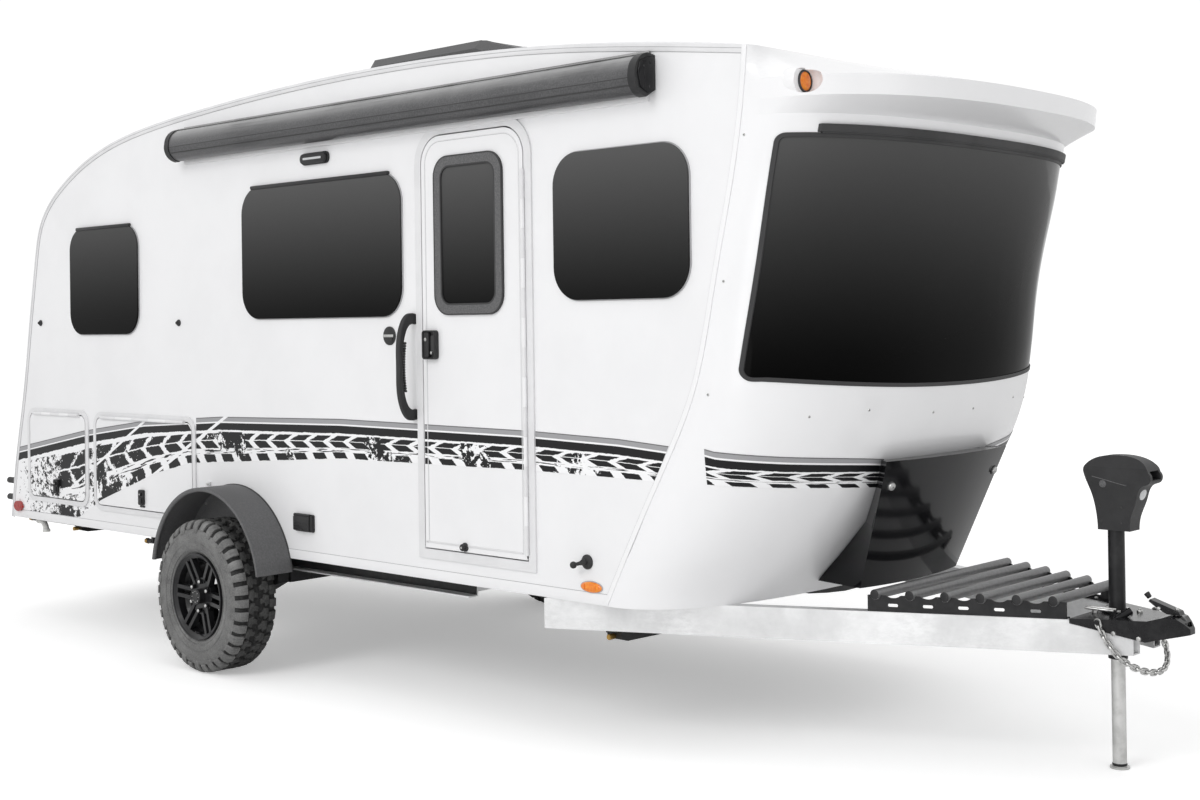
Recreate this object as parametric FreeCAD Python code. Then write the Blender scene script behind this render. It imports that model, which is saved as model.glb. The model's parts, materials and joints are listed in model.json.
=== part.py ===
import FreeCAD, Part

import math
import os

# Small travel trailer with a curved roof line, a moulded front cap with a wraparound window,
# one axle with off-road wheels, an A-frame with a load rack, and a tongue jack.
# Millimetres. +X points to the hitch, +Y to the left, +Z up, z = 0 is the ground.
# The sizes below are measured from the axle, and the finished pieces are moved so that the
# origin lies under the middle of the trailer's box.

V = FreeCAD.Vector
X_AXIS = V(1, 0, 0)
Y_AXIS = V(0, 1, 0)
Z_AXIS = V(0, 0, 1)

# Overall
REAR_X = -2386
COUPLER_TIP_X = 4356
ORIGIN_SHIFT = -(REAR_X + COUPLER_TIP_X) / 2

# Body shell
HALF_W = 1040
WALL_T = 38
ROOF_T = 48
FLOOR_Z = 562
FLOOR_T = 40
REAR_BOTTOM = (-2316, FLOOR_Z)
REAR_EDGE = [REAR_BOTTOM, (-2259, 893), (-2165, 1260), (-2072, 1712), (-1995, 2080)]
ROOF_EDGE = [(-1995, 2080), (-1938, 2250), (-1845, 2358), (-1668, 2474), (-1307, 2617),
             (-722, 2718), (-255, 2755), (725, 2798), (1500, 2797), (2148, 2766), (3209, 2640)]
FRONT_EDGE = [(3209, 2640), (3188, 2444), (3128, 2122), (3047, 1787), (2945, 1400),
              (2793, 1104), (2663, 878), (2491, FLOOR_Z)]
PIECE_GAP = 0.3

# Front cap: plan sections are superellipses, one depth for each height
CAP_T = 30
CAP_POWER = 2.45
CAP_DEPTHS = [(FLOOR_Z, 430), (800, 492), (1075, 540), (1230, 522), (1400, 476), (1600, 432),
              (1850, 402), (2070, 400), (2290, 408), (2386, 412)]
CAP_TOP_Z = 2386
CAP_LEVELS = 10
VISOR_LIP_Z = 2440
VISOR_LIP_TOP_Z = 2512
VISOR_DEPTH = 590
CAP_LAMP_X = 3398
CAP_LAMP_Y = HALF_W - 83
CAP_LAMP_Z = VISOR_LIP_TOP_Z - 17
CAP_LAMP_R = 34
ARC_STEPS = 14

# Panorama window in the front cap
PANO_Z0 = 1436
PANO_Z1 = 2318
PANO_X_LOW = 3117
PANO_X_HIGH = 3306
PANO_R = 42
PANO_SAG = 46
PANO_SAG_HALF = HALF_W - 80
PANO_SEAL_W = 15
PANO_GLASS_T = 6
PANO_RAIL_Z1 = 2348
PANO_RAIL_HALF = HALF_W - 135

# Nose cover over the compartment low in the front cap
NOSE_Z0 = 612
NOSE_Z1 = 1119
NOSE_HALF_TOP = 448
NOSE_HALF_LOW = 354
NOSE_X_LOW = 3232
NOSE_X_TOP = 3425
# Share of the cover's height, and its half width there where it meets the cap
NOSE_SEAT = [(0, 300), (0.21, 275), (0.49, 262), (0.76, 338), (1, 394)]
NOSE_SAG = 44
NOSE_T = 8
NOSE_CLEAR = 5.5
NOSE_HINGE_X = 2977
NOSE_HINGE_Z = 605
NOSE_HINGE_HALF = 150
COMPARTMENT_X = 2890
COMPARTMENT_HALF = 230
COMPARTMENT_Z0 = 700
COMPARTMENT_Z1 = 1060
COMPARTMENT_T = 4

# Side windows: x0, x1, z0, z1, corner radius
WINDOWS = [(-1578, -876, 1626, 2206, 120),
           (90, 1290, 1694, 2326, 130),
           (2234, 2933, 1745, 2324, 130)]
PANE_T = 14
PANE_LAP = 28
PLUG_CLEAR = 1

# Entry door in the right wall
DOOR_X0 = 1385
DOOR_X1 = 2105
DOOR_Z0 = 655
DOOR_Z1 = 2505
DOOR_R = 165
DOOR_FRAME_W = 40
DOOR_FRAME_PROUD = 9
DOOR_GAP = 6
HINGE_PIN_R = 5
HINGE_KNUCKLE_R = 9
HINGE_PROUD = 7
PIN_CLEAR = 0.05
KNUCKLE_GAP = 0.5
DOOR_HINGE_X = DOOR_X1 - DOOR_FRAME_W - DOOR_GAP / 2
DOOR_HINGE_Y = -HALF_W - DOOR_FRAME_PROUD - HINGE_PROUD
DOOR_WIN = (1520, 1942, 1697, 2368, 85)
DOOR_WIN_FRAME_W = 42
HANDLE_X = DOOR_X0 - 37
HOLDBACK_X = DOOR_X1 + 280
HOLDBACK_Z = DOOR_Z0 + 69
HOLDBACK_OUT = 40
HANDLE_W = 28

# Baggage doors: x0, x1, z0, z1 of the outer frame
BAGGAGE = {"rear": (-2100, -1414, 672, 1206), "mid": (-1356, -351, 668, 1203)}
BAGGAGE_R = 78
BAGGAGE_FRAME_W = 26
BAGGAGE_GAP = 6
BAGGAGE_PROUD = 8
BAGGAGE_HINGE_Y = -HALF_W - BAGGAGE_PROUD - HINGE_PROUD

# Awning on the right side, air conditioner on the roof
AWNING_X0 = -430
AWNING_X1 = 2772
AWNING_Z0 = 2497
AWNING_Z1 = 2657
AWNING_D = 112
AWNING_CAP = 36
AC_X0 = 135
AC_X1 = 1400
AC_CREST_X = 1000
AC_Z1 = 3027
AC_HALF_W = 340
AC_CHAMFER = 45
AC_SLOTS = 10

# Lamps and buffers
SIDE_LAMP_Z = 628
SIDE_LAMP_X = (-2217, 2407)
TAIL_LAMP_Z = 860
TAIL_LAMP_W = 200
TAIL_LAMP_H = 84
BUFFER_Z = (768, 671)
BUFFER_R = 18
BUFFER_Y = 24 - HALF_W

# Wheels and fenders
TYRE_R = 366
TYRE_W = 230
BEAD_R = 191
RIM_R = BEAD_R + 17
RIM_LIP_Y = 109
RIM_LIP_T = 12
BARREL_T = 8
SPOKE_PAIRS = 6
SPOKE_TURN = -26
SPOKE_W = 18
SPOKE_SPREAD = 21
HUB_R = 88
STUD_CIRCLE_R = 70
STUD_HOLE_R = 11
HUB_CAP_R = 38
HUB_BORE_R = 20
HUB_BORE_Y = 71
WHEEL_Y = HALF_W + TYRE_W / 2 + 11
FENDER_R = TYRE_R + 94
FENDER_CZ = TYRE_R + 58
FENDER_Z0 = TYRE_R + 133
FENDER_Y = HALF_W + 198
FENDER_T = 8
FENDER_LIP = 20

# Axle
AXLE_X = 160
AXLE_TUBE_Z = 440
AXLE_TUBE_HALF = 38
AXLE_TUBE_END_Y = HALF_W - 170
ARM_Y0 = HALF_W - 160
ARM_Y1 = HALF_W - 100
DRUM_R = 127
DRUM_W = 66

# Chassis and A-frame
RAIL_H = 120
RAIL_W = 51
RAIL_T = 6
RAIL_TOP = FLOOR_Z
RAIL_ANGLE = 25
RAIL_APEX_X = 4428
RAIL_REAR_X = RAIL_APEX_X - (HALF_W + 18) / math.tan(math.radians(RAIL_ANGLE))
RAIL_FRONT_X = 4185
CHANNEL_H = 74
CHANNEL_W = 52
CHANNEL_Y = HALF_W - 135
CHANNEL_T = 6
CHANNEL_X0 = -420
CHANNEL_X1 = 1600
TIE_X = (-2150, -1200, -300, 600, 1500)
TIE_HALF = 25
TIE_RISE = 4
REAR_RAIL_Y = HALF_W - 560

# Folded stabilisers
STABILISER_X = RAIL_REAR_X + 241
STABILISER_END_Y = (RAIL_APEX_X - STABILISER_X) * math.tan(math.radians(RAIL_ANGLE)) - 35
STABILISER_L = HALF_W - 470
STABILISER_W = 90

# Rack on the A-frame
BAR_X = [3350, 3467, 3584, 3701, 3818, 3935]
BAR_R = 19
BAR_Z = 625
BRACKET_T = 5
BRACKET_INSET = 8
BRACKET_TOP = BAR_Z - 2
BAR_SEAT_GAP = 0.3
SLOT_L = 36
SLOT_H = 12

# Jack and coupler
JACK_X = 4074
JACK_TUBE_R = 30
JACK_LEG_R = 25.5
JACK_HEAD_Z0 = 873
JACK_HEAD_Z1 = 1147
JACK_COLLAR_Z = 402
JACK_FLANGE_R = 54
JACK_HEAD_HALF = 52
FOOT_R = 36
FOOT_T = 8
BALL_R = 25.9
BALL_X = 4300
BALL_Z = 548
SOCKET_WALL = 12
SOCKET_R = 38
COUPLER_T = 6
COUPLER_X0 = 3990
COUPLER_TOP = RAIL_TOP + COUPLER_T

# Safety chain
LINK_L = 36
LINK_W = 25
LINK_T = 7
LINK_GAP = 1
CHAIN_PIN_R = 5


def box(x0, x1, y0, y1, z0, z1):
    return Part.makeBox(x1 - x0, y1 - y0, z1 - z0, V(x0, y0, z0))


def cyl_y(r, x, z, y0, y1):
    return Part.makeCylinder(r, y1 - y0, V(x, y0, z), Y_AXIS)


def cyl_x(r, y, z, x0, x1):
    return Part.makeCylinder(r, x1 - x0, V(x0, y, z), X_AXIS)


def cyl_z(r, x, y, z0, z1):
    return Part.makeCylinder(r, z1 - z0, V(x, y, z0), Z_AXIS)


def prism_y(points, y0, y1):
    """Polygon of (x, z) points, pushed from y0 to y1."""
    wire = Part.makePolygon([V(x, y0, z) for x, z in points + points[:1]])
    return Part.Face(wire).extrude(V(0, y1 - y0, 0))


def prism_z(points, z0, z1):
    """Polygon of (x, y) points, pushed from z0 to z1."""
    wire = Part.makePolygon([V(x, y, z0) for x, y in points + points[:1]])
    return Part.Face(wire).extrude(V(0, 0, z1 - z0))


def spline(points):
    curve = Part.BSplineCurve()
    curve.interpolate(points)
    return curve.toShape()


def spline_xz(points, y):
    return spline([V(x, y, z) for x, z in points])


def rounded(x0, x1, z0, z1, r, y0, y1):
    """Upright plate with rounded corners, between y0 and y1."""
    plate = box(x0, x1, y0, y1, z0, z1)
    upright = [e for e in plate.Edges if abs(e.tangentAt(e.FirstParameter).y) > 0.99]
    return plate.makeFillet(r, upright)


def door_outline(x0, x1, z0, z1, r, y0, y1):
    """Upright plate with its two top corners rounded."""
    plate = box(x0, x1, y0, y1, z0, z1)
    top = [e for e in plate.Edges if abs(e.tangentAt(e.FirstParameter).y) > 0.99
           and e.CenterOfMass.z > (z0 + z1) / 2]
    return plate.makeFillet(r, top)


def ellipsoid(centre, rx, ry, rz):
    scale = FreeCAD.Matrix()
    scale.scale(rx, ry, rz)
    solid = Part.makeSphere(1).transformGeometry(scale)
    solid.translate(centre)
    return solid


def prism_x(points, x0, x1):
    """Polygon of (y, z) points, pushed from x0 to x1."""
    wire = Part.makePolygon([V(x0, y, z) for y, z in points + points[:1]])
    return Part.Face(wire).extrude(V(x1 - x0, 0, 0))


def mirrored(shape):
    return shape.mirror(V(0, 0, 0), Y_AXIS)


def both(shape):
    return Part.makeCompound([shape, mirrored(shape)])


def one_solid(shape):
    """The single clean solid in a boolean result."""
    clean = shape.removeSplitter()
    return clean.Solids[0] if len(clean.Solids) == 1 else clean


def x_at(points, z):
    """X of the smooth curve through rising (x, z) points, at height z."""
    curve = Part.BSplineCurve()
    curve.interpolate([V(px, 0, pz) for px, pz in points])
    low, high = curve.FirstParameter, curve.LastParameter
    for _ in range(40):
        middle = (low + high) / 2
        if curve.value(middle).z < z:
            low = middle
        else:
            high = middle
    return curve.value(low).x


def front_edge_x(z):
    return x_at(FRONT_EDGE[::-1], z)


def rear_edge_x(z):
    return x_at(REAR_EDGE, z)


def cap_depth(z):
    return x_at([(depth, pz) for pz, depth in CAP_DEPTHS], z)


def baggage_hinge_z(key):
    return BAGGAGE[key][3] - BAGGAGE_FRAME_W - BAGGAGE_GAP / 2


# Line of the safety chain from the right rail, under the coupler, to the left rail
CHAIN_LINE = [(4084, -184, 566), (4092, -181, 540), (4107, -176, 505), (4130, -163, 466),
              (4158, -146, 430), (4196, -112, 398), (4230, -50, 378), (4240, 10, 380),
              (4228, 75, 404), (4196, 128, 450), (4166, 147, 500), (4150, 152, 540),
              (4148, 153, 566)]


# Body shell

def side_profile(y):
    """Closed outline of the side wall, as a face in the plane at y."""
    start = V(REAR_BOTTOM[0], y, FLOOR_Z)
    end = V(FRONT_EDGE[-1][0], y, FLOOR_Z)
    edges = [spline_xz(REAR_EDGE, y), spline_xz(ROOF_EDGE, y), spline_xz(FRONT_EDGE, y)]
    edges.append(Part.makeLine(end, start))
    return Part.Face(Part.Wire(Part.sortEdges(edges)[0]))


def side_wall(right):
    """Side wall with its window holes, baggage holes and, on the right, the doorway."""
    y0, y1 = -HALF_W, -HALF_W + WALL_T
    wall = side_profile(y0).extrude(V(0, WALL_T, 0))
    cuts = []
    for x0, x1, z0, z1, r in WINDOWS:
        cuts.append(rounded(x0 + PANE_LAP, x1 - PANE_LAP, z0 + PANE_LAP, z1 - PANE_LAP,
                            r - PANE_LAP, y0 - 1, y1 + 1))
    for key in (("rear", "mid") if right else ("rear",)):
        x0, x1, z0, z1 = BAGGAGE[key]
        w = BAGGAGE_FRAME_W - 6
        cuts.append(rounded(x0 + w, x1 - w, z0 + w, z1 - w, BAGGAGE_R - w, y0 - 1, y1 + 1)
                    .cut(cyl_y(FENDER_R + 30, 0, FENDER_CZ, y0 - 2, y1 + 2)))
    if right:
        cuts.append(door_outline(DOOR_X0 + 8, DOOR_X1 - 8, DOOR_Z0 + 8, DOOR_Z1 - 8, DOOR_R - 8,
                                 y0 - 1, y1 + 1))
    wall = one_solid(wall.cut(Part.makeCompound(cuts)))
    return wall if right else mirrored(wall)


def outside_body(shape):
    """The part of a shape that lies outside the body's side outline."""
    reach = HALF_W + WALL_T
    return shape.cut(side_profile(-reach).extrude(V(0, 2 * reach, 0)))


def band(points, thickness, y_half):
    """Panel that follows part of the body's outline, thickness measured inwards."""
    outline = REAR_EDGE + ROOF_EDGE[1:]
    inner = []
    for x, z in points:
        i = outline.index((x, z))
        xa, za = outline[max(i - 1, 0)]
        xb, zb = outline[min(i + 1, len(outline) - 1)]
        length = math.hypot(xb - xa, zb - za)
        inner.append((x + (zb - za) / length * thickness, z - (xb - xa) / length * thickness))
    outer_edge = spline_xz(points, -y_half)
    inner_edge = spline_xz(inner, -y_half)
    a = Part.makeLine(V(points[0][0], -y_half, points[0][1]), V(inner[0][0], -y_half, inner[0][1]))
    b = Part.makeLine(V(points[-1][0], -y_half, points[-1][1]),
                      V(inner[-1][0], -y_half, inner[-1][1]))
    face = Part.Face(Part.Wire(Part.sortEdges([outer_edge, a, inner_edge, b])[0]))
    return face.extrude(V(0, 2 * y_half, 0))


def cap_arc(z, depth, out):
    """Points of the plan curve at height z, from the right wall round to the left one."""
    x0 = front_edge_x(z)
    points = []
    for i in range(ARC_STEPS + 1):
        a = math.pi * i / ARC_STEPS
        c, s = math.cos(a), math.sin(a)
        y = -math.copysign(abs(c) ** (2 / CAP_POWER), c) * (HALF_W + out)
        points.append(V(x0 + abs(s) ** (2 / CAP_POWER) * (depth + out), y, z))
    return points


def cap_section(z, out, thickness):
    """Closed plan outline of the cap's wall at height z, its outer line moved out by out."""
    outer = cap_arc(z, cap_depth(z), out)
    inner = cap_arc(z, cap_depth(z), out - thickness)
    edges = [spline(outer), Part.makeLine(outer[-1], inner[-1]), spline(inner[::-1]),
             Part.makeLine(inner[0], outer[0])]
    return Part.Wire(edges)


def cap_levels():
    return [FLOOR_Z + (CAP_TOP_Z - FLOOR_Z) * i / CAP_LEVELS for i in range(CAP_LEVELS + 1)]


def cap_shell(out, thickness):
    """Curved wall of the front cap from the floor up to the visor."""
    shell = Part.makeLoft([cap_section(z, out, thickness) for z in cap_levels()], True, False)
    return one_solid(outside_body(shell))


def cap_volume(out):
    """Everything behind the cap's outer face, moved out by out."""
    sections = []
    for z in cap_levels():
        arc = cap_arc(z, cap_depth(z), out)
        sections.append(Part.Wire([spline(arc), Part.makeLine(arc[-1], arc[0])]))
    return Part.makeLoft(sections, True, False)


def pano_prism(grow, y_half=HALF_W + 100):
    """Side outline of the wraparound window, grown or shrunk, through the whole width."""
    lean = (PANO_X_HIGH - PANO_X_LOW) / (PANO_Z1 - PANO_Z0)
    z0, z1 = PANO_Z0 - grow, PANO_Z1 + grow
    xa = PANO_X_LOW - grow - lean * grow
    xb = PANO_X_HIGH - grow + lean * grow
    far = COUPLER_TIP_X
    solid = prism_y([(xa, z0), (far, z0), (far, z1), (xb, z1)], -y_half, y_half)
    corners = [e for e in solid.Edges if abs(e.tangentAt(e.FirstParameter).y) > 0.99
               and e.CenterOfMass.x < far - 1]
    solid = solid.makeFillet(PANO_R + grow, corners)
    half = PANO_SAG_HALF + grow
    arc = Part.Arc(V(xa + 10, -half, z0), V(xa + 10, 0, z0 - PANO_SAG), V(xa + 10, half, z0)).toShape()
    lid = Part.makePolygon([V(xa + 10, y, z) for y, z in
                            ((half, z0), (half, z0 + 40), (-half, z0 + 40), (-half, z0))])
    belly = Part.Face(Part.Wire([arc] + lid.Edges)).extrude(V(far - xa - 10, 0, 0))
    return solid.fuse(belly).removeSplitter()


def front_cap():
    """Moulded cap with the window opening and the hole of the compartment behind the cover."""
    cap = cap_shell(0, CAP_T).cut(pano_prism(0))
    return one_solid(cap.cut(compartment_block(PIECE_GAP)))


def pano_glass():
    glass = cap_shell(-2, PANO_GLASS_T).common(pano_prism(-PANO_SEAL_W))
    return one_solid(glass)


def pano_seal():
    ring = cap_shell(3, CAP_T / 2).common(pano_prism(0))
    return one_solid(ring.cut(pano_prism(-PANO_SEAL_W)))


def pano_rail():
    strip = cap_shell(14, 14)
    keep = box(PANO_X_HIGH, COUPLER_TIP_X, -PANO_RAIL_HALF, PANO_RAIL_HALF,
               PANO_Z1 + 2, PANO_RAIL_Z1)
    return one_solid(strip.common(keep))


def visor_section(z, depth):
    """Closed plan outline of the visor at height z: the front arc and a straight back."""
    arc = cap_arc(z, depth, 0)
    return Part.Wire([spline(arc), Part.makeLine(arc[-1], arc[0])])


def front_visor():
    """Moulded brow above the wraparound window."""
    levels = [(CAP_TOP_Z, CAP_DEPTHS[-1][1]), (VISOR_LIP_Z, VISOR_DEPTH),
              (VISOR_LIP_TOP_Z, VISOR_DEPTH), (FRONT_EDGE[0][1], 24)]
    parts = []
    for low, high in zip(levels, levels[1:]):
        parts.append(Part.makeLoft([visor_section(*low), visor_section(*high)], True, True))
    visor = outside_body(parts[0].multiFuse(parts[1:]))
    pod = ellipsoid(V(CAP_LAMP_X - 26, -CAP_LAMP_Y - 22, CAP_LAMP_Z), 78, 46, 50)
    scoop = ellipsoid(V(CAP_LAMP_X + 26, -CAP_LAMP_Y - 30, CAP_LAMP_Z), 60, 66, 46)
    scoop = scoop.common(box(CAP_LAMP_X, CAP_LAMP_X + 200, -2 * HALF_W, 0, 0, 3000))
    face = cyl_x(CAP_LAMP_R + 4, -CAP_LAMP_Y, CAP_LAMP_Z, CAP_LAMP_X, CAP_LAMP_X + 40)
    visor = visor.multiFuse([pod, mirrored(pod)])
    return one_solid(visor.cut(both(scoop.fuse(face))))


def floor_panel():
    """Floor between the walls, with a rounded front that follows the cap."""
    inner = HALF_W - WALL_T
    top = FLOOR_Z + FLOOR_T
    rect = box(rear_edge_x(top) + ROOF_T + 2, front_edge_x(FLOOR_Z) + 2, -inner, inner, FLOOR_Z, top)
    arc = cap_arc(FLOOR_Z, cap_depth(FLOOR_Z), -CAP_T - PIECE_GAP)
    face = Part.Face(Part.Wire([spline(arc), Part.makeLine(arc[-1], arc[0])]))
    tongue = face.extrude(V(0, 0, FLOOR_T)).common(
        box(0, COUPLER_TIP_X, -inner, inner, FLOOR_Z, top))
    return one_solid(rect.fuse(tongue))


# Hinges

DOOR_HINGE = (V(DOOR_HINGE_X, DOOR_HINGE_Y, 720), Z_AXIS, 1560, 13)
NOSE_HINGE = (V(NOSE_HINGE_X, -NOSE_HINGE_HALF, NOSE_HINGE_Z), Y_AXIS, 2 * NOSE_HINGE_HALF, 5)


def baggage_hinge(key):
    x0, x1, _, _ = BAGGAGE[key]
    return V(x0 + 90, BAGGAGE_HINGE_Y, baggage_hinge_z(key)), X_AXIS, x1 - x0 - 180, 5


def pin_bore(start, direction, length, count):
    """Running hole of the pin through all the knuckles."""
    return Part.makeCylinder(HINGE_PIN_R + PIN_CLEAR, length, start, direction)


def hinge_set(start, direction, length, count):
    """Knuckles on one pin. The odd ones and the pin stay, the even ones turn with the leaf."""
    fixed = [Part.makeCylinder(HINGE_PIN_R, length, start, direction)]
    moving = []
    step = length / count
    for i in range(count):
        at = start + direction * (i * step + KNUCKLE_GAP / 2)
        knuckle = Part.makeCylinder(HINGE_KNUCKLE_R, step - KNUCKLE_GAP, at, direction)
        (moving if i % 2 else fixed).append(knuckle)
    bore = pin_bore(start, direction, length, count)
    return fixed, [knuckle.cut(bore) for knuckle in moving]


def knuckle_room(start, direction, length, count, moving):
    """Space round the knuckles of one side, for the notches in the other side."""
    step = length / count
    rooms = []
    for i in range(count):
        if (i % 2 == 1) == moving:
            at = start + direction * (i * step - KNUCKLE_GAP / 2)
            rooms.append(Part.makeCylinder(HINGE_KNUCKLE_R + 1, step + KNUCKLE_GAP, at, direction))
    return Part.makeCompound(rooms)


# Windows

def side_panes(right):
    panes = []
    for x0, x1, z0, z1, r in WINDOWS:
        plate = rounded(x0, x1, z0, z1, r, -HALF_W - PANE_T, -HALF_W)
        lap = PANE_LAP + PLUG_CLEAR
        plug = rounded(x0 + lap, x1 - lap, z0 + lap, z1 - lap, r - lap, -HALF_W, -HALF_W + 20)
        panes.append(one_solid(plate.fuse(plug)))
    panes = Part.makeCompound(panes)
    return panes if right else mirrored(panes)


# Entry door

def door_frame():
    y0, y1 = -HALF_W - DOOR_FRAME_PROUD, -HALF_W + WALL_T
    flange = door_outline(DOOR_X0, DOOR_X1, DOOR_Z0, DOOR_Z1, DOOR_R, y0, -HALF_W)
    neck = door_outline(DOOR_X0 + 8, DOOR_X1 - 8, DOOR_Z0 + 8, DOOR_Z1 - 8, DOOR_R - 8,
                        -HALF_W, y1)
    w = DOOR_FRAME_W
    hole = door_outline(DOOR_X0 + w, DOOR_X1 - w, DOOR_Z0 + w, DOOR_Z1 - w, DOOR_R - w,
                        y0 - 1, y1 + 1)
    frame = flange.fuse(neck).cut(hole).cut(knuckle_room(*DOOR_HINGE, True))
    return one_solid(frame.multiFuse(hinge_set(*DOOR_HINGE)[0]))


def entry_door():
    """Door leaf with its window hole and its hinge knuckles."""
    g = DOOR_FRAME_W + DOOR_GAP
    leaf = door_outline(DOOR_X0 + g, DOOR_X1 - g, DOOR_Z0 + g, DOOR_Z1 - g, DOOR_R - g,
                        -HALF_W - DOOR_FRAME_PROUD, -HALF_W + WALL_T - DOOR_FRAME_PROUD)
    x0, x1, z0, z1, r = DOOR_WIN
    w = DOOR_WIN_FRAME_W
    hole = rounded(x0 + w, x1 - w, z0 + w, z1 - w, r - w + 10, -HALF_W - 40, -HALF_W + 60)
    leaf = leaf.cut(hole).cut(knuckle_room(*DOOR_HINGE, False))
    leaf = leaf.cut(pin_bore(*DOOR_HINGE))
    return one_solid(leaf.multiFuse(hinge_set(*DOOR_HINGE)[1]))


def door_window():
    x0, x1, z0, z1, r = DOOR_WIN
    w = DOOR_WIN_FRAME_W
    face_y = -HALF_W - DOOR_FRAME_PROUD
    bezel = rounded(x0, x1, z0, z1, r, face_y - 10, face_y)
    return bezel.cut(rounded(x0 + w, x1 - w, z0 + w, z1 - w, r - w + 10, face_y - 20, face_y + 1))


def door_glass():
    x0, x1, z0, z1, r = DOOR_WIN
    w = DOOR_WIN_FRAME_W
    face_y = -HALF_W - DOOR_FRAME_PROUD
    return rounded(x0 + w, x1 - w, z0 + w, z1 - w, r - w + 10, face_y - 4, face_y + 4)


def door_latch():
    face_y = -HALF_W - DOOR_FRAME_PROUD
    return rounded(1450, 1530, 1508, 1632, 14, face_y - 24, face_y)


def grab_handle():
    """Bowed handle beside the door, its two feet on the wall."""
    outer = [(0, 1704), (-42, 1702), (-82, 1645), (-98, 1475), (-82, 1305), (-42, 1248), (0, 1246)]
    inner = [(0, 1292), (-34, 1296), (-58, 1335), (-72, 1475), (-58, 1615), (-34, 1654), (0, 1658)]
    loops = [[V(HANDLE_X, -HALF_W + y, z) for y, z in line] for line in (outer, inner)]
    edges = [spline(loops[0]), Part.makeLine(loops[0][-1], loops[1][0]), spline(loops[1]),
             Part.makeLine(loops[1][-1], loops[0][0])]
    bow = Part.Face(Part.Wire(edges)).extrude(V(HANDLE_W, 0, 0))
    long_edges = [e for e in bow.Edges if e.Length > 300 and abs(e.CenterOfMass.y + HALF_W) > 40]
    return bow.makeFillet(8, long_edges)


def door_holdback():
    x, z, out = HOLDBACK_X, HOLDBACK_Z, -HALF_W - HOLDBACK_OUT
    bar = cyl_x(9, out, z, x - 40, x + 40)
    stem = cyl_y(8, x, z, out, -HALF_W)
    foot = cyl_y(22, x, z, -HALF_W - 6, -HALF_W)
    return one_solid(bar.multiFuse([stem, foot]))


def door_bumper():
    face_y = -HALF_W - DOOR_FRAME_PROUD
    return cyl_y(17, 1684, 722, face_y - 20, face_y)


# Baggage doors

def fender_clear(extra, y0, y1):
    return cyl_y(FENDER_R + extra, 0, FENDER_CZ, y0, y1)


def baggage_frame(key):
    x0, x1, z0, z1 = BAGGAGE[key]
    y0, y1 = -HALF_W - BAGGAGE_PROUD, -HALF_W + WALL_T
    n = BAGGAGE_FRAME_W - 6
    w = BAGGAGE_FRAME_W
    flange = rounded(x0, x1, z0, z1, BAGGAGE_R, y0, -HALF_W)
    neck = rounded(x0 + n, x1 - n, z0 + n, z1 - n, BAGGAGE_R - n, -HALF_W, y1)
    hole = rounded(x0 + w, x1 - w, z0 + w, z1 - w, BAGGAGE_R - w, y0 - 1, y1 + 1)
    neck = neck.cut(fender_clear(30, y0 - 2, y1 + 2))
    hole = hole.cut(fender_clear(36, y0 - 2, y1 + 2))
    flange = flange.cut(fender_clear(2, y0 - 2, y1 + 2))
    hinge = baggage_hinge(key)
    frame = flange.fuse(neck).cut(hole).cut(knuckle_room(*hinge, True))
    return one_solid(frame.multiFuse(hinge_set(*hinge)[0]))


def baggage_door(key):
    x0, x1, z0, z1 = BAGGAGE[key]
    w = BAGGAGE_FRAME_W + BAGGAGE_GAP
    y0 = -HALF_W - BAGGAGE_PROUD
    leaf = rounded(x0 + w, x1 - w, z0 + w, z1 - w, BAGGAGE_R - w, y0, y0 + WALL_T)
    leaf = leaf.cut(fender_clear(42, y0 - 2, y0 + WALL_T + 2))
    xm = (x0 + x1) / 2
    latch = rounded(xm - 22, xm + 22, z0 + 62, z0 + 134, 8, y0 - 14, y0 + 2)
    hinge = baggage_hinge(key)
    leaf = leaf.fuse(latch).cut(knuckle_room(*hinge, False))
    leaf = leaf.cut(pin_bore(*hinge))
    return one_solid(leaf.multiFuse(hinge_set(*hinge)[1]))


# Awning, air conditioner and lamps

def awning_profile(x, grow):
    """Closed section of the awning's case in the plane at x: flat back, rounded front."""
    y, out = -HALF_W, -HALF_W - AWNING_D - grow
    top, low = AWNING_Z1 + grow, AWNING_Z0 - grow
    back_top, shoulder = V(x, y, top - 6), V(x, y - 40, top)
    crown, nose = V(x, out + 16, top - 34), V(x, out, top - 78)
    belly, heel = V(x, out + 20, low + 20), V(x, y - 52, low)
    edges = [Part.makeLine(V(x, y, low + 30), back_top), Part.makeLine(back_top, shoulder),
             Part.Arc(shoulder, crown, nose).toShape(), Part.Arc(nose, belly, heel).toShape(),
             Part.makeLine(heel, V(x, y, low + 30))]
    return Part.Wire(edges)


def awning_case():
    return Part.Face(awning_profile(AWNING_X0 + AWNING_CAP, 0)).extrude(
        V(AWNING_X1 - AWNING_X0 - 2 * AWNING_CAP, 0, 0))


def awning_caps():
    caps = []
    for x in (AWNING_X0, AWNING_X1 - AWNING_CAP):
        caps.append(Part.Face(awning_profile(x, 3)).extrude(V(AWNING_CAP, 0, 0)))
    return Part.makeCompound(caps)


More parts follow.
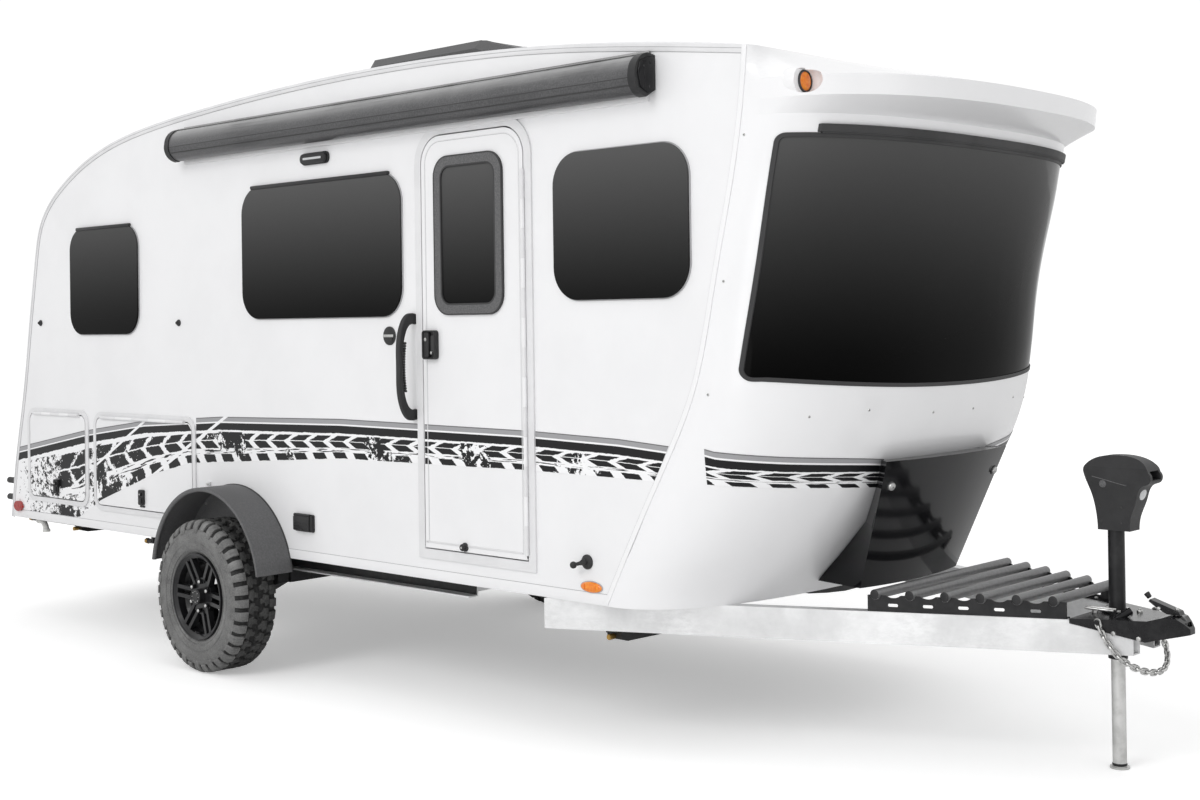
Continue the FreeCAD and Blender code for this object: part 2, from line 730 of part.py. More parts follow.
def air_conditioner():
    """Low shroud on the roof with sloped ends, chamfered sides and a row of slots."""
    def outline(y, inset):
        low, top = ROOF_EDGE[-1][1], AC_Z1 - inset
        pts = [(AC_X0 + inset, low), (AC_X0 + inset, top - 50), (AC_X0 + 50 + inset, top),
               (AC_CREST_X, top), (AC_X1 - 40 - inset, top - 107), (AC_X1 - inset, top - 167),
               (AC_X1 - inset, low)]
        return Part.makePolygon([V(x, y, z) for x, z in pts + pts[:1]])
    w, c = AC_HALF_W, AC_CHAMFER
    body = Part.makeLoft([outline(-w, c), outline(c - w, 0), outline(w - c, 0), outline(w, c)],
                         True, True)
    slots = []
    for i in range(AC_SLOTS):
        x = AC_X0 + 180 + i * 60
        slots.append(box(x, x + 34, -w - 1, 14 - w, AC_Z1 - 130, AC_Z1 - 60))
        slots.append(box(x, x + 34, w - 14, w + 1, AC_Z1 - 130, AC_Z1 - 60))
    return one_solid(outside_body(body.cut(Part.makeCompound(slots))))


def oval_plate(x, z, half_x, half_z, y0, y1):
    ellipse = Part.Ellipse(V(x, y0, z), half_x, half_z)
    ellipse.Axis = Y_AXIS
    ellipse.XAxis = X_AXIS
    ellipse.Center = V(x, y0, z)
    return Part.Face(Part.Wire(ellipse.toShape())).extrude(V(0, y1 - y0, 0))


def side_lamp(x):
    return both(oval_plate(x, SIDE_LAMP_Z, 48, 30, -HALF_W - 14, -HALF_W))


def cap_lamps():
    """Round lamps that look forwards from the pods at the visor's corners."""
    lens = cyl_x(CAP_LAMP_R, -CAP_LAMP_Y, CAP_LAMP_Z, CAP_LAMP_X, CAP_LAMP_X + 10)
    return both(lens)


def porch_light():
    return rounded(572, 778, 2402, 2468, 30, -HALF_W - 30, -HALF_W)


def power_inlet():
    return rounded(486, 630, 697, 779, 8, -HALF_W - 26, -HALF_W)


# Running gear

def tyre():
    """Right tyre as one revolved body."""
    half = TYRE_W / 2
    bulge = (BEAD_R + TYRE_R) / 2
    pts = [(BEAD_R, -half + 24), (bulge, -half), (TYRE_R, -half + 32), (TYRE_R, half - 32),
           (bulge, half), (BEAD_R, half - 24)]
    ring = Part.Face(Part.makePolygon([V(r, y, 0) for r, y in pts + pts[:1]]))
    ring = ring.revolve(V(0, 0, 0), Y_AXIS, 360)
    ring.translate(V(0, -WHEEL_Y, TYRE_R))
    return ring


def spoke(offset):
    """One rib of a spoke pair, dished from the lip in to the hub, along +Z."""
    lip, w = RIM_LIP_Y, SPOKE_W / 2
    pts = [(HUB_R - 20, 24 - lip), (BEAD_R - 4, 10 - lip), (BEAD_R - 4, 36 - lip),
           (BEAD_R - 30, 40 - lip), (HUB_R - 20, 56 - lip)]
    wire = Part.makePolygon([V(offset - w, y, r) for r, y in pts + pts[:1]])
    return Part.Face(wire).extrude(V(SPOKE_W, 0, 0))


def rim():
    """Right wheel: barrel with two lips, paired spokes, drilled hub and cap."""
    lip, t = RIM_LIP_Y, RIM_LIP_T
    seat = BEAD_R - PIECE_GAP
    well = seat - 18
    pts = [(RIM_R, -lip), (RIM_R, t - lip), (seat, t - lip), (seat, -55), (well, -38), (well, 38),
           (seat, 55), (seat, lip - t), (RIM_R, lip - t), (RIM_R, lip), (seat - BARREL_T, lip),
           (seat - BARREL_T, 58), (well - BARREL_T, 41), (well - BARREL_T, -41),
           (seat - BARREL_T, -58), (seat - BARREL_T, 14 - lip), (RIM_R - 6, -lip)]
    shape = Part.Face(Part.makePolygon([V(r, y, 0) for r, y in pts + pts[:1]]))
    shape = shape.revolve(V(0, 0, 0), Y_AXIS, 360)
    hub = cyl_y(HUB_R, 0, 0, 28 - lip, 60 - lip)
    bearing = cyl_y(HUB_BORE_R + 26, 0, 0, 50 - lip, 10)
    cap = Part.makeCone(HUB_CAP_R - 4, HUB_CAP_R, 50, V(0, -lip - 3, 0), Y_AXIS)
    ribs = []
    for i in range(SPOKE_PAIRS):
        for offset in (-SPOKE_SPREAD, SPOKE_SPREAD):
            rib = spoke(offset)
            rib.rotate(V(0, 0, 0), Y_AXIS, SPOKE_TURN + i * 360 / SPOKE_PAIRS)
            ribs.append(rib)
    shape = shape.multiFuse([hub, bearing, cap] + ribs)
    holes = [cyl_y(HUB_BORE_R + PIN_CLEAR, 0, 0, -HUB_BORE_Y, 11)]
    for i in range(SPOKE_PAIRS):
        a = math.radians(SPOKE_TURN + (i + 0.5) * 360 / SPOKE_PAIRS)
        holes.append(cyl_y(STUD_HOLE_R, STUD_CIRCLE_R * math.sin(a), STUD_CIRCLE_R * math.cos(a),
                           20 - lip, 46 - lip))
    shape = one_solid(shape.cut(Part.makeCompound(holes)))
    shape.translate(V(0, -WHEEL_Y, TYRE_R))
    return shape


def fender():
    """Right fender: half a tube with a rolled outer edge and a flange on the wall."""
    y0, y1 = -FENDER_Y, -HALF_W
    inner = cyl_y(FENDER_R - FENDER_T, 0, FENDER_CZ, y0 - 1, y1 + 1)
    skin = cyl_y(FENDER_R, 0, FENDER_CZ, y0, y1).cut(inner)
    r = FENDER_LIP / 2
    edge = Part.makeTorus(FENDER_R - r, r, V(0, y0 + r, FENDER_CZ), Y_AXIS)
    flange = cyl_y(FENDER_R, 0, FENDER_CZ, y1 - 4, y1).cut(
        cyl_y(FENDER_R - 2 * FENDER_LIP, 0, FENDER_CZ, y0, y1 + 1))
    low = box(-FENDER_R - 5, FENDER_R + 5, y0 - 5, y1 + 1, FENDER_CZ - FENDER_R - 5, FENDER_Z0)
    return one_solid(skin.multiFuse([edge, flange]).cut(low))


def axle():
    """Torsion axle tube with two brackets up to the underfloor channels."""
    end, half = AXLE_TUBE_END_Y, AXLE_TUBE_HALF
    top = AXLE_TUBE_Z + half
    tube = box(AXLE_X - half, AXLE_X + half, -end, end, AXLE_TUBE_Z - half, top)
    bracket = box(AXLE_X - 60, AXLE_X + 60, -CHANNEL_Y - CHANNEL_W, 60 - end, top,
                  FLOOR_Z - CHANNEL_H)
    return one_solid(tube.multiFuse([bracket, mirrored(bracket)]))


def trailing_arm():
    """Right torsion arm with its spindle and brake drum."""
    half = AXLE_TUBE_HALF - 4
    arm = prism_y([(AXLE_X + half, AXLE_TUBE_Z - half), (AXLE_X + half, AXLE_TUBE_Z + half),
                   (AXLE_X - half, AXLE_TUBE_Z + half), (-half, TYRE_R + half),
                   (-half, TYRE_R - half), (half, TYRE_R - half)], -ARM_Y1, -ARM_Y0)
    stub = cyl_y(half - 4, AXLE_X, AXLE_TUBE_Z, -ARM_Y0, -AXLE_TUBE_END_Y)
    spindle = cyl_y(HUB_BORE_R, 0, TYRE_R, -WHEEL_Y - HUB_BORE_Y + 6, -ARM_Y0)
    drum = cyl_y(DRUM_R, 0, TYRE_R, -HALF_W - 6, -HALF_W - 6 + DRUM_W)
    return one_solid(arm.multiFuse([stub, spindle, drum]))


# Chassis

def rail_outline(offset_out, x0, x1):
    """Ends of the A-frame rail's line at the given distance inside its outer face."""
    t = math.tan(math.radians(RAIL_ANGLE))
    c = math.cos(math.radians(RAIL_ANGLE))
    return [(x, -(RAIL_APEX_X - x) * t + offset_out / c) for x in (x0, x1)]


def a_frame_rail():
    outer = rail_outline(0, RAIL_REAR_X, RAIL_FRONT_X)
    inner = rail_outline(RAIL_W, RAIL_REAR_X, RAIL_FRONT_X)
    tube = prism_z(outer + inner[::-1], RAIL_TOP - RAIL_H, RAIL_TOP)
    a = rail_outline(RAIL_T, RAIL_REAR_X - 10, RAIL_FRONT_X + 10)
    b = rail_outline(RAIL_W - RAIL_T, RAIL_REAR_X - 10, RAIL_FRONT_X + 10)
    return tube.cut(prism_z(a + b[::-1], RAIL_TOP - RAIL_H + RAIL_T, RAIL_TOP - RAIL_T))


def channel():
    """Right underfloor channel, open outwards."""
    y0, y1 = -CHANNEL_Y - CHANNEL_W, -CHANNEL_Y
    z0, z1 = FLOOR_Z - CHANNEL_H, FLOOR_Z
    body = box(CHANNEL_X0, CHANNEL_X1, y0, y1, z0, z1)
    body = body.cut(box(CHANNEL_X0 - 1, CHANNEL_X1 + 1, y0 - 1, y1 - CHANNEL_T,
                        z0 + CHANNEL_T, z1 - CHANNEL_T))
    return body


def chassis():
    """Channels beside the wheels and closer rails behind them, joined by cross members."""
    low = FLOOR_Z - CHANNEL_H + TIE_RISE
    rail = box(TIE_X[0] - 2 * TIE_HALF, CHANNEL_X0, -REAR_RAIL_Y, CHANNEL_W - REAR_RAIL_Y, low, FLOOR_Z)
    rail = rail.fuse(box(CHANNEL_X0, TIE_X[2], -REAR_RAIL_Y, CHANNEL_W - REAR_RAIL_Y, low, FLOOR_Z))
    parts = [mirrored(channel()), both(rail)]
    for x in TIE_X:
        half = CHANNEL_Y if x > CHANNEL_X0 else REAR_RAIL_Y
        parts.append(box(x - TIE_HALF, x + TIE_HALF, -half, half, low, FLOOR_Z))
    return one_solid(channel().multiFuse(parts))


def bar_half_length(x):
    return (RAIL_APEX_X - x) * math.tan(math.radians(RAIL_ANGLE)) - 4


def rack_bars():
    return Part.makeCompound([cyl_y(BAR_R, x, BAR_Z, -bar_half_length(x), bar_half_length(x))
                              for x in BAR_X])


def rack_bracket():
    """Right rack plate on the A-frame rail: seats for the bars, dips and slots between them."""
    x0, x1 = BAR_X[0] - 26, BAR_X[-1] + 40
    a = rail_outline(BRACKET_INSET, x0, x1)
    b = rail_outline(BRACKET_INSET + BRACKET_T, x0, x1)
    plate = prism_z(a + b[::-1], RAIL_TOP, BRACKET_TOP)
    foot = rail_outline(BRACKET_INSET + 26, x0, x1)
    plate = plate.fuse(prism_z(a + foot[::-1], RAIL_TOP, RAIL_TOP + BRACKET_T))
    cuts = [cyl_y(BAR_R + BAR_SEAT_GAP, x, BAR_Z, -HALF_W, 0) for x in BAR_X]
    for xa, xb in zip(BAR_X, BAR_X[1:]):
        middle = (xa + xb) / 2
        cuts.append(cyl_y(40, middle, BRACKET_TOP + 30, -HALF_W, 0))
        cuts.append(rounded(middle - SLOT_L / 2, middle + SLOT_L / 2, RAIL_TOP + 18,
                            RAIL_TOP + 18 + SLOT_H, SLOT_H / 2 - 0.5, -HALF_W, 0))
    return one_solid(plate.cut(Part.makeCompound(cuts)))


# Coupler and jack

def coupler_outline(offset):
    """Plan outline of the coupler, grown inwards by offset from its outer face."""
    a, b = rail_outline(offset - COUPLER_T - PIECE_GAP, COUPLER_X0 - offset, BALL_X - 10)
    half = SOCKET_R + 2 - offset
    right = [a, (b[0], min(b[1], -half)), (COUPLER_TIP_X - 22, -half),
             (COUPLER_TIP_X - offset, -half + 20)]
    return right + [(x, -y) for x, y in right[::-1]]


def coupler_body():
    """Folded steel coupler that saddles the rails, with its ball socket."""
    low = RAIL_TOP - 70
    block = prism_z(coupler_outline(0), low, BALL_Z + SOCKET_R)
    side = prism_y([(COUPLER_X0, COUPLER_TOP), (COUPLER_X0, RAIL_TOP - 12), (4225, low),
                    (4262, low + 10), (COUPLER_TIP_X, BALL_Z - 26), (COUPLER_TIP_X, BALL_Z - 6),
                    (COUPLER_TIP_X - 18, BALL_Z + 14), (BALL_X + 18, BALL_Z + 30),
                    (BALL_X - 22, BALL_Z + 34), (BALL_X - 70, COUPLER_TOP)], -300, 300)
    inside = prism_z(coupler_outline(COUPLER_T), low - 1, RAIL_TOP)
    shell = block.common(side).cut(inside)
    socket = cyl_z(SOCKET_R, BALL_X, 0, BALL_Z - SOCKET_WALL, BALL_Z).fuse(
        Part.makeSphere(SOCKET_R, V(BALL_X, 0, BALL_Z)).common(
            box(BALL_X - 50, BALL_X + 50, -50, 50, BALL_Z - 1, BALL_Z + 60)))
    bore = cyl_z(BALL_R, BALL_X, 0, BALL_Z - SOCKET_WALL - 60, BALL_Z)
    dome = Part.makeSphere(BALL_R, V(BALL_X, 0, BALL_Z))
    flange = cyl_z(JACK_FLANGE_R, JACK_X, 0, RAIL_TOP, COUPLER_TOP + 8)
    hole = cyl_z(JACK_TUBE_R + PIECE_GAP, JACK_X, 0, RAIL_TOP - 5, RAIL_TOP + 60)
    spans = chain_spans()
    pins = [chain_pin(*spans[0]), chain_pin(*spans[-1][::-1])]
    return one_solid(shell.multiFuse([socket, flange] + pins).cut(bore.fuse(dome)).cut(hole))


def coupler_latch():
    """Latch lever folded down over the socket."""
    top = BALL_Z + SOCKET_R
    return prism_y([(BALL_X - 98, COUPLER_TOP + 58), (BALL_X - 92, COUPLER_TOP + 66),
                    (BALL_X + 14, top + 14), (BALL_X + 20, top + 0.3), (BALL_X - 30, top + 0.3),
                    (BALL_X - 62, COUPLER_TOP + 34)], -20, 20)


def chain_link(start, end, turn):
    """Flat link between two points of the chain's line, turned about that line."""
    def ring(length, width):
        c = width / 2 * 0.6
        x, y = length / 2, width / 2
        pts = [(x, y - c), (x - c, y), (c - x, y), (-x, y - c), (-x, c - y), (c - x, -y),
               (x - c, -y), (x, c - y)]
        return prism_z(pts, -LINK_T / 2, LINK_T / 2)
    link = ring(LINK_L, LINK_W).cut(ring(LINK_L - 2 * LINK_T, LINK_W - 2 * LINK_T))
    link.rotate(V(0, 0, 0), X_AXIS, turn)
    along = end - start
    link.Placement = FreeCAD.Placement((start + end) / 2, FreeCAD.Rotation(X_AXIS, along)) \
        .multiply(link.Placement)
    return link


def chain_spans():
    """Start and end of each link along the sagging line."""
    curve = Part.BSplineCurve()
    curve.interpolate([V(*p) for p in CHAIN_LINE])
    pitch = LINK_L - 2 * LINK_T - LINK_GAP
    points = curve.discretize(Number=math.ceil(curve.length() / pitch) // 2 * 2 + 2)
    return list(zip(points, points[1:]))


def safety_chains():
    return Part.makeCompound([chain_link(a, b, 90 + 90 * (i % 2))
                              for i, (a, b) in enumerate(chain_spans())])


def chain_pin(a, b):
    """Headed pin from the coupler's side through the link that spans a to b, from its end a."""
    at = (a + b) / 2 + (a - b).normalize() * (LINK_L / 2 - LINK_T - CHAIN_PIN_R - PIECE_GAP)
    side = math.copysign(1, at.y)
    seat = rail_outline(-COUPLER_T / 2, at.x, at.x)[0][1]
    pin = cyl_y(CHAIN_PIN_R, at.x, at.z, -abs(at.y) - LINK_T, seat)
    head = cyl_y(CHAIN_PIN_R + 4, at.x, at.z, -abs(at.y) - LINK_T - 4, -abs(at.y) - LINK_T)
    pin = pin.fuse(head)
    return pin if side < 0 else mirrored(pin)


def jack_tube():
    """Outer tube with a collar at its lower end."""
    outer = cyl_z(JACK_TUBE_R, JACK_X, 0, JACK_COLLAR_Z, JACK_HEAD_Z0)
    collar = cyl_z(JACK_TUBE_R + 5, JACK_X, 0, JACK_COLLAR_Z, JACK_COLLAR_Z + 24)
    bore = cyl_z(JACK_LEG_R + 0.5, JACK_X, 0, JACK_COLLAR_Z - 1, JACK_HEAD_Z0 - 10)
    return one_solid(outer.fuse(collar).cut(bore))


def jack_head():
    """Powered jack head: a narrow neck that swells forwards to the switch panel."""
    tall = JACK_HEAD_Z1 - JACK_HEAD_Z0
    back = [(-52, 0), (-56, 67), (-72, 137), (-98, 202), (-101, 219), (-86, 245), (-40, 268), (30, tall)]
    front = [(30, tall), (92, 266), (134, 243), (150, 215)]
    chin = [(150, 215), (158, 201), (152, 179), (126, 167), (100, 112), (78, 52), (72, 0)]
    edges = []
    for line in (back, front, chin):
        edges.append(spline([V(JACK_X + x, -JACK_HEAD_HALF, JACK_HEAD_Z0 + z) for x, z in line]))
    edges.append(Part.makeLine(V(JACK_X + 72, -JACK_HEAD_HALF, JACK_HEAD_Z0),
                               V(JACK_X - 52, -JACK_HEAD_HALF, JACK_HEAD_Z0)))
    side = Part.Face(Part.Wire(edges)).extrude(V(0, 2 * JACK_HEAD_HALF, 0))
    w = JACK_HEAD_HALF
    shoulder_low, shoulder_high = JACK_HEAD_Z0 + 177, JACK_HEAD_Z1 - 43
    face = prism_x([(12 - w, JACK_HEAD_Z0), (-w, shoulder_low), (-w, shoulder_high),
                    (22 - w, JACK_HEAD_Z1), (w - 22, JACK_HEAD_Z1), (w, shoulder_high),
                    (w, shoulder_low), (w - 12, JACK_HEAD_Z0)], JACK_X - 200, JACK_X + 300)
    recess = box(JACK_X + 108, JACK_X + 200, 16 - w, w - 16, JACK_HEAD_Z1 - 85, JACK_HEAD_Z1 - 53)
    return one_solid(side.common(face).cut(recess))


def jack_leg():
    leg = cyl_z(JACK_LEG_R, JACK_X, 0, FOOT_T, JACK_COLLAR_Z + 60)
    return one_solid(leg.fuse(cyl_z(FOOT_R, JACK_X, 0, 0, FOOT_T)))


def stabiliser(x, y_end, z1):
    """Folded scissor jack lying across the trailer, right side: base channel over two arms."""
    w = STABILISER_W / 2
    base = box(x - w, x + w, -y_end, STABILISER_L - y_end, z1 - 16, z1)
    arms = prism_x([(-y_end, z1 - 16), (-y_end, z1 - 34), (40 - y_end, z1 - 46),
                    (STABILISER_L / 2 - y_end, z1 - 50), (STABILISER_L * 0.75 - y_end, z1 - 40),
                    (STABILISER_L - y_end, z1 - 24),
                    (STABILISER_L - y_end, z1 - 16)], x - w + 8, x + w - 8)
    gap = box(x - w + 16, x + w - 16, 60 - y_end, STABILISER_L * 0.42 - y_end, z1 - 60, z1 - 16)
    return one_solid(base.fuse(arms.cut(gap)))


def stabiliser_screw(x, y_end, z1):
    """Hexagonal end of the drive screw, standing on the arm's end."""
    corners = [math.radians(60 * i) for i in range(6)]
    return prism_y([(x + 12 * math.sin(a), z1 - 25 + 12 * math.cos(a)) for a in corners],
                   -y_end - 32, -y_end)


STABILISER_PLACES = [(STABILISER_X, STABILISER_END_Y, RAIL_TOP - RAIL_H),
                     (TIE_X[0], REAR_RAIL_Y + 230, FLOOR_Z - CHANNEL_H + TIE_RISE)]


def stabilisers():
    return Part.makeCompound([both(stabiliser(*place)) for place in STABILISER_PLACES])


def stabiliser_screws():
    return Part.makeCompound([both(stabiliser_screw(*place)) for place in STABILISER_PLACES])


# Nose cover on hinges in front of the cap

def cap_x(y, z):
    """X of the cap's outer face."""
    return front_edge_x(z) + cap_depth(z) * (1 - abs(y / HALF_W) ** CAP_POWER) ** (1 / CAP_POWER)


def nose_block(inset):
    """Solid inside the cover's outer faces moved in by inset: its sides run in to the cap."""
    low, high = NOSE_Z0 + inset, NOSE_Z1 - inset
    sections = []
    for share, seat in NOSE_SEAT:
        z = low + (high - low) * share
        half = NOSE_HALF_LOW + (NOSE_HALF_TOP - NOSE_HALF_LOW) * share - inset
        x = NOSE_X_LOW + (NOSE_X_TOP - NOSE_X_LOW) * share - inset
        side_x = x - NOSE_SAG
        back_x = side_x + (cap_x(seat, z) - side_x) * 1.25
        back_y = half + (seat - inset - half) * 1.25
        front = Part.Arc(V(side_x, -half, z), V(x, 0, z), V(side_x, half, z)).toShape()
        corners = [V(side_x, half, z), V(back_x, back_y, z), V(back_x, -back_y, z), V(side_x, -half, z)]
        sections.append(Part.Wire([front] + Part.makePolygon(corners).Edges))
    return Part.makeLoft(sections, True, True)


def compartment_block(grow):
    """Space of the compartment, grown all round, from inside the cap out to its face."""
    return box(COMPARTMENT_X, COUPLER_TIP_X, -COMPARTMENT_HALF - grow, COMPARTMENT_HALF + grow,
               COMPARTMENT_Z0 - grow, COMPARTMENT_Z1 + grow)


def nose_compartment():
    """Liner of the compartment behind the cover, closed at the back and flush with the cap."""
    liner = compartment_block(0).common(cap_volume(0))
    t = COMPARTMENT_T
    return one_solid(liner.cut(box(COMPARTMENT_X + t, COUPLER_TIP_X, t - COMPARTMENT_HALF,
                                   COMPARTMENT_HALF - t, COMPARTMENT_Z0 + t, COMPARTMENT_Z1 - t)))


def nose_cover():
    """Cover low on the front cap, open at the back, with its hinge knuckles."""
    shell = nose_block(0).cut(nose_block(NOSE_T)).cut(cap_volume(NOSE_CLEAR))
    shell = shell.cut(knuckle_room(*NOSE_HINGE, False)).cut(pin_bore(*NOSE_HINGE))
    return one_solid(shell.multiFuse(hinge_set(*NOSE_HINGE)[1]))


def nose_hinge():
    """Fixed half of the nose cover's hinge, on feet that follow the cap."""
    fixed = hinge_set(*NOSE_HINGE)[0]
    start, _, length, count = NOSE_HINGE
    step = length / count
    for i in range(0, count, 2):
        y = start.y + i * step
        fixed.append(box(NOSE_HINGE_X - 60, NOSE_HINGE_X, y + KNUCKLE_GAP, y + step - KNUCKLE_GAP,
                         NOSE_HINGE_Z - HINGE_KNUCKLE_R, NOSE_HINGE_Z - 1))
    hinge = fixed[0].multiFuse(fixed[1:]).cut(cap_volume(0))
    return one_solid(hinge)


def tail_lamps():
    """Rear lamps, one each side, seated on the leaning rear wall."""
    x = rear_edge_x(TAIL_LAMP_Z)
    lamp = rounded(-TAIL_LAMP_W / 2, TAIL_LAMP_W / 2, -TAIL_LAMP_H / 2, TAIL_LAMP_H / 2, 20, -100, 0)
    lamp.rotate(V(0, 0, 0), Z_AXIS, -90)
    lamp.translate(V(x + 74, 160 - HALF_W, TAIL_LAMP_Z))
    return both(one_solid(outside_body(lamp)))


def rear_buffers():
    stubs = []
    for z in BUFFER_Z:
        stub = cyl_x(BUFFER_R, BUFFER_Y, z, REAR_X, rear_edge_x(z) + 20)
        stubs.append(both(one_solid(outside_body(stub))))
    return Part.makeCompound(stubs)


def build():
    inner_half = HALF_W - WALL_T
    nodes = {
        "wall_right": side_wall(True),
        "wall_left": side_wall(False),
        "roof_panel": band(ROOF_EDGE, ROOF_T, inner_half),
        "rear_wall": band(REAR_EDGE, ROOF_T, inner_half),
        "floor_panel": floor_panel(),
        "front_cap": front_cap(),
        "front_visor": front_visor(),
        "pano_glass": pano_glass(),
        "pano_seal": pano_seal(),
        "pano_rail": pano_rail(),
        "windows_right": side_panes(True),
        "windows_left": side_panes(False),
        "door_frame": door_frame(),
        "entry_door": entry_door(),
        "door_window_frame": door_window(),
        "door_glass": door_glass(),
        "door_fittings": Part.makeCompound([door_latch(), door_bumper()]),
        "grab_handle": grab_handle(),
        "wall_fittings": Part.makeCompound([door_holdback(), porch_light(), power_inlet()]),
        "baggage_frames": Part.makeCompound([baggage_frame("rear"), baggage_frame("mid"),
                                             mirrored(baggage_frame("rear"))]),
        "baggage_door_rear_right": baggage_door("rear"),
        "baggage_door_mid_right": baggage_door("mid"),
        "baggage_door_rear_left": mirrored(baggage_door("rear")),
        "awning_case": awning_case(),
        "awning_caps": awning_caps(),
        "air_conditioner": air_conditioner(),
        "lamps_amber": Part.makeCompound([side_lamp(SIDE_LAMP_X[1]), cap_lamps()]),
        "lamps_red": Part.makeCompound([side_lamp(SIDE_LAMP_X[0]), tail_lamps()]),
        "tyre_right": tyre(),
        "tyre_left": mirrored(tyre()),
        "rim_right": rim(),
        "rim_left": mirrored(rim()),
        "fender_right": fender(),
        "fender_left": mirrored(fender()),
        "axle": axle(),
        "trailing_arms": both(trailing_arm()),
        "chassis": chassis(),
        "a_frame_rails": both(a_frame_rail()),
        "rack_bars": rack_bars(),
        "rack_brackets": both(rack_bracket()),
        "coupler_body": coupler_body(),
        "coupler_latch": coupler_latch(),
        "safety_chains": safety_chains(),
        "jack_tube": jack_tube(),
        "jack_head": jack_head(),
        "jack_leg": jack_leg(),
        "stabilisers": stabilisers(),
        "stabiliser_screws": stabiliser_screws(),
        "nose_cover": nose_cover(),
        "nose_hinge": nose_hinge(),
        "nose_compartment": nose_compartment(),
        "rear_buffers": rear_buffers(),
    }
    os.makedirs("parts", exist_ok=True)
    for name, shape in nodes.items():
        placed = shape.copy()
        placed.translate(V(ORIGIN_SHIFT, 0, 0))
        placed.exportStep("parts/%s.step" % name)
        print(name, len(placed.Solids), placed.isValid(), round(placed.Volume / 1e6, 3))


build()
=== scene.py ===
"""Looks of a small travel trailer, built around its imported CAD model.

Sizes are millimetres measured from the axle: +X to the hitch, +Y to the left, +Z up. A piece is
modelled in them and becomes metres in the row frame when it is finished.
"""

from __future__ import annotations

import json
import logging
import math
from dataclasses import dataclass
from enum import Enum
from functools import partial
from typing import Callable, Iterable, Sequence

import bmesh
import bpy
import numpy as np
from mathutils import Matrix, Vector
from mathutils.bvhtree import BVHTree

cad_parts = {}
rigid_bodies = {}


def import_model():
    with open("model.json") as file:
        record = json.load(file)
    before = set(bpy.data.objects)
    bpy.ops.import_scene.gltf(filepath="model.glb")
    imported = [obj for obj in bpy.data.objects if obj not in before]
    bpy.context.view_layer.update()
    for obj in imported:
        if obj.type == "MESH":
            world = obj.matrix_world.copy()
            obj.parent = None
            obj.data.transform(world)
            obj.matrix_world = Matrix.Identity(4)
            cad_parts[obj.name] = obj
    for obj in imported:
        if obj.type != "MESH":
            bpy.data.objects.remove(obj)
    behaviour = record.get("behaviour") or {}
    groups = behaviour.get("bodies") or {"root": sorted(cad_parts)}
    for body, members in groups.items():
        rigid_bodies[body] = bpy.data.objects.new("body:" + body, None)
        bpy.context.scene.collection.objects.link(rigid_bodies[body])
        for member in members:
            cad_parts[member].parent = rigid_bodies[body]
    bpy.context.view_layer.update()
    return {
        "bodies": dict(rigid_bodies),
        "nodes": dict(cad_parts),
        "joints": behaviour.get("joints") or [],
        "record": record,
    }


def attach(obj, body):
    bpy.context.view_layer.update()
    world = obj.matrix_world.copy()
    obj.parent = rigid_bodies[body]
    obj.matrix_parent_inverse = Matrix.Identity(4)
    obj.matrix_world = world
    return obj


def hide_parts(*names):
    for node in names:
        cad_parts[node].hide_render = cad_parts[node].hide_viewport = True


LOG = logging.getLogger("travel_trailer")
AXLE_TO_ROW = Matrix.Scale(0.001, 4) @ Matrix.Translation((-985, 0, 0))
ROW_TO_AXLE = AXLE_TO_ROW.inverted()
MIRROR_Y = Matrix.Scale(-1, 4, (0, 1, 0))
HALF_W = 1040.0

BAGGAGE_PROUD = 8.0
LEAF_PROUD = 9.0
ORIGIN, REARWARD, INWARD, DOWNWARD = (0, 0, 0), (-1, 0, 0), (0, 1, 0), (0, 0, -1)
JACK_X = 4074.0
RAIL_APEX = 4428.0
RAIL_SLOPE = math.tan(math.radians(25))

Point = Sequence[float]
Rgb = tuple[float, float, float]
Mesh = bmesh.types.BMesh
Material = bpy.types.Material
NodeTree = bpy.types.NodeTree
Object = bpy.types.Object
Socket = bpy.types.NodeSocket
Nodes = dict[str, Object]


class Side(Enum):
    """Which sides of the trailer a piece is put on."""

    RIGHT = "right"
    LEFT = "left"
    BOTH = "both"


class Slot(str, Enum):
    """Material slots of the record that the added pieces use."""

    SHELL = "shell_white"
    FRAME = "frame_white"
    RUBBER = "seal_rubber"
    PLASTIC = "black_plastic"
    NOSE = "nose_black"
    TYRE = "tyre"
    RIM = "rim_black"
    BAR = "bar_grey"
    STEEL = "black_steel"
    AWNING = "awning_grey"
    JACK = "jack_steel"
    ZINC = "zinc_steel"
    AMBER = "amber_lens"
    RED = "red_lens"


BAGGAGE_DOORS = (
    ("baggage_rear_right", (-2100, -1414, 672, 1206), Side.RIGHT),
    ("baggage_mid_right", (-1356, -351, 668, 1203), Side.RIGHT),
    ("baggage_rear_left", (-2100, -1414, 672, 1206), Side.LEFT),
)


# ---------------------------------------------------------------- curves


